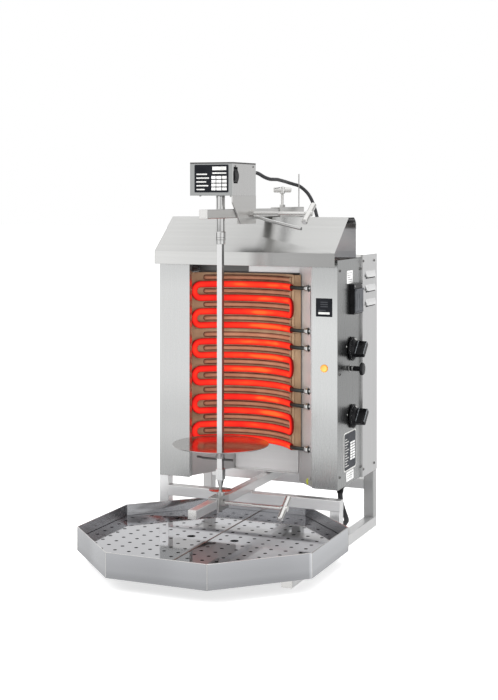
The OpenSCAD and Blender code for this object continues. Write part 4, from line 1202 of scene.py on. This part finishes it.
def make_plates(mats):
    """Badge, rating plate and two paper labels; paints: 0 black, 1 pale, 2 paper, 3 grey."""
    shape = Shape()
    front = FRONT_Y - 0.00002
    shape.box((0.1740, front - 0.0008, 0.537), (0.2135, front, 0.579), 0, 0.0003)
    badge_bars = [(0.1800, 0.2075, 0.5425, 0.5475, 1), (0.1800, 0.1980, 0.5505, 0.5525, 3)]
    badge_bars += [(0.1850, 0.2030, 0.5590 + 0.005 * k, 0.5612 + 0.005 * k, 3) for k in range(3)]
    for x0, x1, z0, z1, paint in badge_bars:
        shape.box((x0, front - 0.0010, z0), (x1, front - 0.0007, z1), paint)
    side = PANEL_X + 0.00002
    y0, y1, z0, z1 = 0.135, 0.223, 0.1745, 0.2646
    shape.prism(rounded_box(y0, z0, y1, z1, 0.008), side, side + 0.0004, "x", 1)
    shape.prism(rounded_box(y0 + 0.003, z0 + 0.003, y1 - 0.003, z1 - 0.003, 0.006),
                side + 0.0004, side + 0.0006, "x", 3)
    rows = 11
    for k in range(rows):
        z = z1 - 0.0140 - k * 0.0062
        if 2 <= k <= 8:
            shape.box((side + 0.0006, y0 + 0.045, z - 0.0045), (side + 0.0008, y0 + 0.060, z), 2)
            shape.box((side + 0.0006, y0 + 0.062, z - 0.0045), (side + 0.0008, y0 + 0.078, z), 2)
        shape.box((side + 0.0006, y0 + 0.008, z - 0.0030),
                  (side + 0.0008, y0 + 0.022 + 0.006 * ((k * 5) % 3), z - 0.0012), 1)
    for y0, z0, y1, z1, rows in ((0.157, 0.609, 0.199, 0.639, 5), (0.152, 0.150, 0.205, 0.172, 3)):
        shape.prism(rounded_box(y0, z0, y1, z1, 0.002), side, side + 0.0003, "x", 2)
        for k in range(rows):
            z = z1 - 0.005 - k * 0.0052
            shape.box((side + 0.0003, y0 + 0.005, z - 0.0010),
                      (side + 0.0004, y1 - 0.006 - 0.005 * (k % 3), z), 3)
    return shape.build("printed_plates", "stand",
                       [mats["plate"], mats["mark"], mats["paper"], mats["print"]], ["info_plates"])


def rounded_box(x0, y0, x1, y1, r):
    points = []
    for cx, cy, start in ((x1 - r, y1 - r, 0), (x0 + r, y1 - r, 90), (x0 + r, y0 + r, 180),
                          (x1 - r, y0 + r, 270)):
        for k in range(6):
            a = math.radians(start + 18 * k)
            points.append((cx + r * math.cos(a), cy + r * math.sin(a)))
    return points


def make_motor_plate(mats):
    """The black plate on the motor's front, with plain pale bars."""
    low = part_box("motor_housing")[0]
    shape = Shape()
    front = low[1]
    x0, x1, z0, z1 = low[0] + 0.0115, low[0] + 0.0945, low[2] + 0.0070, low[2] + 0.0690
    shape.prism(rounded_box(x0, z0, x1, z1, 0.002), front - 0.0007, front - 0.00002, "y", 0)

    def bar(left, right, top, tall, paint):
        shape.box((x0 + left, front - 0.0009, top - tall), (x0 + right, front - 0.0006, top), paint)
    pitch = 0.0085
    for k, width in enumerate((0.026, 0.031, 0.024, 0.029, 0.020)):
        bar(0.005, 0.005 + width, z1 - 0.020 - k * pitch, 0.0028, 1)
    bar(0.044, 0.078, z1 - 0.0045, 0.0080, 1)
    bar(0.044, 0.078, z1 - 0.0175, 0.0030, 1)
    for row in range(4):
        for left, right, paint in ((0.042, 0.052, 2), (0.054, 0.066, 2), (0.068, 0.079, 1)):
            bar(left, right, z1 - 0.0255 - row * pitch, 0.0062, paint)
    return shape.build("motor_plate", "motor_carriage",
                       [mats["plate"], mats["mark"], mats["paper"]])


def make_motor_trim(mats):
    """Lid screws, foot screws under the box and a cable nut."""
    low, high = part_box("motor_housing")
    shape = Shape()
    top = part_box("motor_lid")[1][2]
    for y in (low[1] + 0.012, high[1] - 0.030):
        screw_head(shape, (high[0], y, top - 0.0085), (1, 0, 0), 0.0022, 0, 1)
        screw_head(shape, (low[0], y, top - 0.0085), (-1, 0, 0), 0.0022, 0, 1)
    for x in (-0.045, 0.004):
        screw_head(shape, (x, low[1] + 0.010, low[2]), (0, 0, -1), 0.0026, 0, 1)
    x, y, z = LEAD_ROUTE[0]
    shape.lathe([(0.0088, 0.0), (0.0095, 0.0006), (0.0095, 0.0042), (0.0086, 0.0050)],
                (x, y - 0.0138, z), (0, 1, 0), 2, 6)
    return shape.build("motor_screws", "motor_carriage",
                       [mats["screw"], mats["gap"], mats["black"]])


def make_rocker(mats):
    """The two-way rocker with its grip ribs, leaning as it does at rest."""
    shape = Shape()
    x, y, z = ROCKER_PLACE
    lean = math.radians(-6)
    half_tall, half_wide, back = 0.0160, 0.0102, -0.001

    def leaning(out, across, h):
        return (x + out * math.cos(lean) + h * math.sin(lean), y + across,
                z - out * math.sin(lean) + h * math.cos(lean))
    heights = [half_tall * (k / 6 - 1) for k in range(13)]
    rows = [(h, 0.0056 - 0.9 * h * h / 0.046) for h in heights]
    shape.rings([[leaning(back, -half_wide, h), leaning(bulge, -half_wide, h),
                  leaning(bulge, half_wide, h), leaning(back, half_wide, h)] for h, bulge in rows])
    for k in (2, 3, 4, 8, 9, 10):
        h, bulge = rows[k]
        shape.tube([leaning(bulge, -0.008, h), leaning(bulge, 0.008, h)], 0.0005, 0, 8, True)
    return shape.build("rocker_cap", "rocker", [mats["gloss"]], ["rocker_switch"],
                       0.0004)


# ---- Bars, screws and the spit ----

def threaded(length, start, end, radius, pitch=0.0025):
    """A rod's profile that is threaded from start to end."""
    profile = [(radius * 0.8, 0), (radius, 0.0008), (radius, start)]
    count = int((end - start) / pitch)
    for k in range(count):
        h = start + k * pitch
        profile += [(radius, h), (radius * 0.86, h + pitch * 0.5)]
    return profile + [(radius, end), (radius, length)]


def make_clamp_screw(name, start, end_x, bar_length, tilt, body, mats):
    """Threaded rod along X with a chamfered cross bar through its head."""
    x, y, z = start
    length = end_x - x
    shape = Shape()
    shape.lathe(threaded(length, 0.012, min(0.075, length * 0.5), 0.004), start, (1, 0, 0))
    shape.lathe([(0.0040, -0.010), (0.0060, -0.0085), (0.0066, -0.0060), (0.0066, 0.0070),
                 (0.0058, 0.0085)], (end_x, y, z), (1, 0, 0), 0, 32)
    way = Vector((0, -math.sin(math.radians(tilt)), math.cos(math.radians(tilt))))
    half = bar_length / 2
    shape.lathe([(0.0050, -half), (0.0070, -half + 0.0020), (0.0070, half - 0.0020),
                 (0.0050, half)], (end_x, y, z), way, 0, 40)
    return shape.build(name + "_bar", body, [mats["satin"]], [name], angle=28)


def make_sleeve_screw(mats):
    x, y, z = SLEEVE_SCREW
    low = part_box("sleeve_screw")[0][2]
    shape = Shape()
    shape.lathe(threaded(z - low, 0.004, z - low - 0.006, 0.0035, 0.0020), (x, y, low), (0, 0, 1))
    shape.lathe([(0.0035, -0.010), (0.0062, -0.0088), (0.0068, -0.006), (0.0068, 0.0055),
                 (0.0058, 0.0072), (0.0030, 0.0078)], (x, y, z), (0, 0, 1), 0, 32)
    way = (math.cos(math.radians(35)), math.sin(math.radians(35)), 0)
    shape.lathe([(0.0045, -0.022), (0.0065, -0.0202), (0.0065, 0.0202), (0.0045, 0.022)],
                (x, y, z), way, 0, 32)
    return shape.build("sleeve_bar", "sleeve_clamp", [mats["satin"]], ["sleeve_screw"],
                       angle=28)


def make_handle(mats):
    shape = Shape()
    path = smooth_path([(x * MM, y * MM, z * MM) for x, y, z in HANDLE_ROUTE], 0.004)
    shape.tube(path, 0.004, 0, 20, True)
    return shape.build("pull_bar", "motor_carriage", [mats["bright"]],
                       ["pull_handle"], angle=60)


def make_disc_pin(mats):
    shape = Shape()
    path = smooth_path([(x * MM, y * MM, z * MM) for x, y, z in PIN_ROUTE], 0.003)
    shape.tube(path, 0.00245, 0, 14, True)
    return shape.build("locking_wire", "locking_pin", [mats["dark"]], ["disc_pin"],
                       angle=60)


def make_collar(mats):
    low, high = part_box("coupling_collar")
    tall = high[2] - low[2]
    shape = Shape()
    bore = 0.01006
    profile = [(bore, 0), (0.0105, 0.0), (0.0110, 0.0006), (0.0110, 0.0080), (0.0117, 0.0084)]
    for h in (0.0105, 0.0145):
        profile += [(0.0119, h), (0.0112, h + 0.0006), (0.0119, h + 0.0012)]
    profile += [(0.0120, 0.0190), (0.0120, tall - 0.0015), (0.0110, tall), (bore, tall), (bore, 0)]
    shape.lathe(profile, (SPIT[0], SPIT[1], low[2]), (0, 0, 1), 0, 48)
    return shape.build("lock_collar", "collar", [mats["bright"]],
                       ["coupling_collar"], angle=25)


def make_bearing(mats):
    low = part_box("bearing_cup")[0]
    shape = Shape()
    profile = [(0.0042, 0.0032), (0.0042, 0.0), (0.0100, 0.0), (0.0100, 0.0085), (0.0240, 0.0090),
               (0.0262, 0.0094), (0.0265, 0.0100), (0.0262, 0.0108), (0.0240, 0.0110),
               (0.0075, 0.0106), (0.0068, 0.0109), (0.0042, 0.0109), (0.0042, 0.0034)]
    shape.lathe(profile, (SPIT[0], SPIT[1], low[2]), (0, 0, 1), 0, 48)
    return shape.build("drip_guard", "lower_carriage", [mats["bright"]],
                       ["bearing_cup"], angle=25)


def make_weld_beads(mats):
    """Weld lines up the tray's eight corners and a rolled edge round its rim, in a lighter steel than the
    tray's: painted highlights along them.
    """
    low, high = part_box("drip_tray")
    reach = (high[0] - low[0]) / 2 / math.cos(math.radians(22.5))
    centre = ((low[0] + high[0]) / 2, (low[1] + high[1]) / 2)
    shape = Shape()
    rim = []
    for k in range(8):
        turn = math.radians(22.5 + 45 * k)
        x = centre[0] + (reach - 0.0006) * math.cos(turn)
        y = centre[1] + (reach - 0.0006) * math.sin(turn)
        beads = [(x, y, low[2] + 0.0008 + (high[2] - low[2] - 0.002) * i / 24) for i in range(25)]
        shape.tube(beads, 0.0009, 0, 10, True)
        rim.append(Vector((x, y, high[2] - 0.0006)))
    for a, b in zip(rim, rim[1:] + rim[:1]):
        inward = (Vector((*centre, a.z)) - a).normalized() * 0.0002
        shape.tube([a + inward, b + inward], 0.0009, 0, 10, True)
    return shape.build("tray_edging", "tray", [mats["satin"]], angle=50)


def make_floor_seam(mats):
    """The left floor half's folded edge, which shows as a bronze line between the halves."""
    low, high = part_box("left_insert")
    shape = Shape()
    shape.box((high[0] - 0.0034, low[1] + 0.0020, high[2] - 0.0006),
              (high[0], high[1] - 0.0020, high[2] + 0.0007))
    return shape.build("floor_seam", "left_floor", [mats["bronze"]], bevel=0.0003)


def make_pan_frame(mats):
    """Bright folded edge round the pan under the heater."""
    low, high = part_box("lower_reflector")
    y = high[1] - 0.0012
    shape = Shape()
    wide = 0.003
    edges = ((low[0], low[2], low[0] + wide, high[2]), (high[0] - wide, low[2], high[0], high[2]),
             (low[0], high[2] - wide, high[0], high[2]), (low[0], low[2] + 0.0014, high[0], low[2] + 0.0044))
    for x0, z0, x1, z1 in edges:
        shape.box((x0, y - 0.0035, z0), (x1, y, z1))
    return shape.build("pan_frame", "stand", [mats["white_steel"]], bevel=0.0005)


def make_earth_tag(mats):
    """The earthing screw at the foot of the heater's right-hand wall, with its striped wire."""
    shape = Shape()
    x, y, z = 0.1535, 0.1020, 0.162
    screw_head(shape, (x, y, z), (-1, -0.9, 0), 0.004, 0)
    shape.tube([(x - 0.003, y - 0.003, z), (x - 0.006, y - 0.002, z - 0.006),
                (x - 0.003, y, z - 0.014)], 0.0012, 1, 10, True)
    return shape.build("earth_tag", "stand", [mats["bright"], mats["earth"]])


def make_upper_rail(mats):
    """The reflector strip and the dark support that close the top of the heater."""
    shape = Shape()
    z0, z1 = 0.6300, 0.6480
    y = 0.150
    shape.box((-0.1460, y, z0), (-0.0180, y + 0.0012, z1), 1)
    shape.box((-0.0160, y - 0.004, z0 + 0.002), (0.1190, y - 0.0028, z1 + 0.002), 0)
    shape.tube([(-0.1460, y - 0.006, z0 + 0.001), (0.1240, y - 0.006, z0 + 0.001)], 0.0016, 1, 10, True)
    return shape.build("heater_rail", "stand", [mats["white_steel"], mats["dark"]],
                       bevel=0.0003)


def make_arm_caps(mats):
    """Plugs with a raised face in the open ends of the two arms and the rails."""
    shape = Shape()
    for x, y, z, size in ARM_ENDS:
        half = size / 2
        shape.prism(rounded_box(x - half + 0.0032, z - half + 0.0032, x + half - 0.0032,
                                z + half - 0.0032, 0.002), y - 0.0004, y, "y", 0)
    return shape.build("arm_plugs", "stand", [mats["satin"]], bevel=0.0002)


# ---- The scene: camera and cords first ----

make_camera()
make_studio()
mats = make_materials()
make_mains_lead(mats)
make_motor_lead(mats)
paint_nodes(mats)
soften_nodes()
for element, element_top in ELEMENT_TOPS.items():
    make_element(element, element_top, mats)
for tile, (tile_low, tile_high) in TILES.items():
    make_tile(tile, tile_low, tile_high, ELEMENT_TOPS[tile.replace("tile", "element")], mats)
for knob, (knob_y, knob_z) in zip(("upper_knob", "lower_knob"), KNOB_PLACES):
    make_knob(knob, (PANEL_X + 0.0015, knob_y, knob_z), mats)
for make in (make_push_knob, make_switch_collars, make_socket, make_flap, make_lamp,
             make_casing_screws, make_louvers, make_back_screws, make_plates,
             make_motor_plate, make_motor_trim, make_rocker):
    make(mats)
for clamp in CLAMPS:
    make_clamp_screw(*clamp, mats)
for make in (make_sleeve_screw, make_handle, make_disc_pin, make_collar, make_bearing,
             make_weld_beads, make_floor_seam, make_pan_frame, make_earth_tag, make_upper_rail,
             make_arm_caps):
    make(mats)
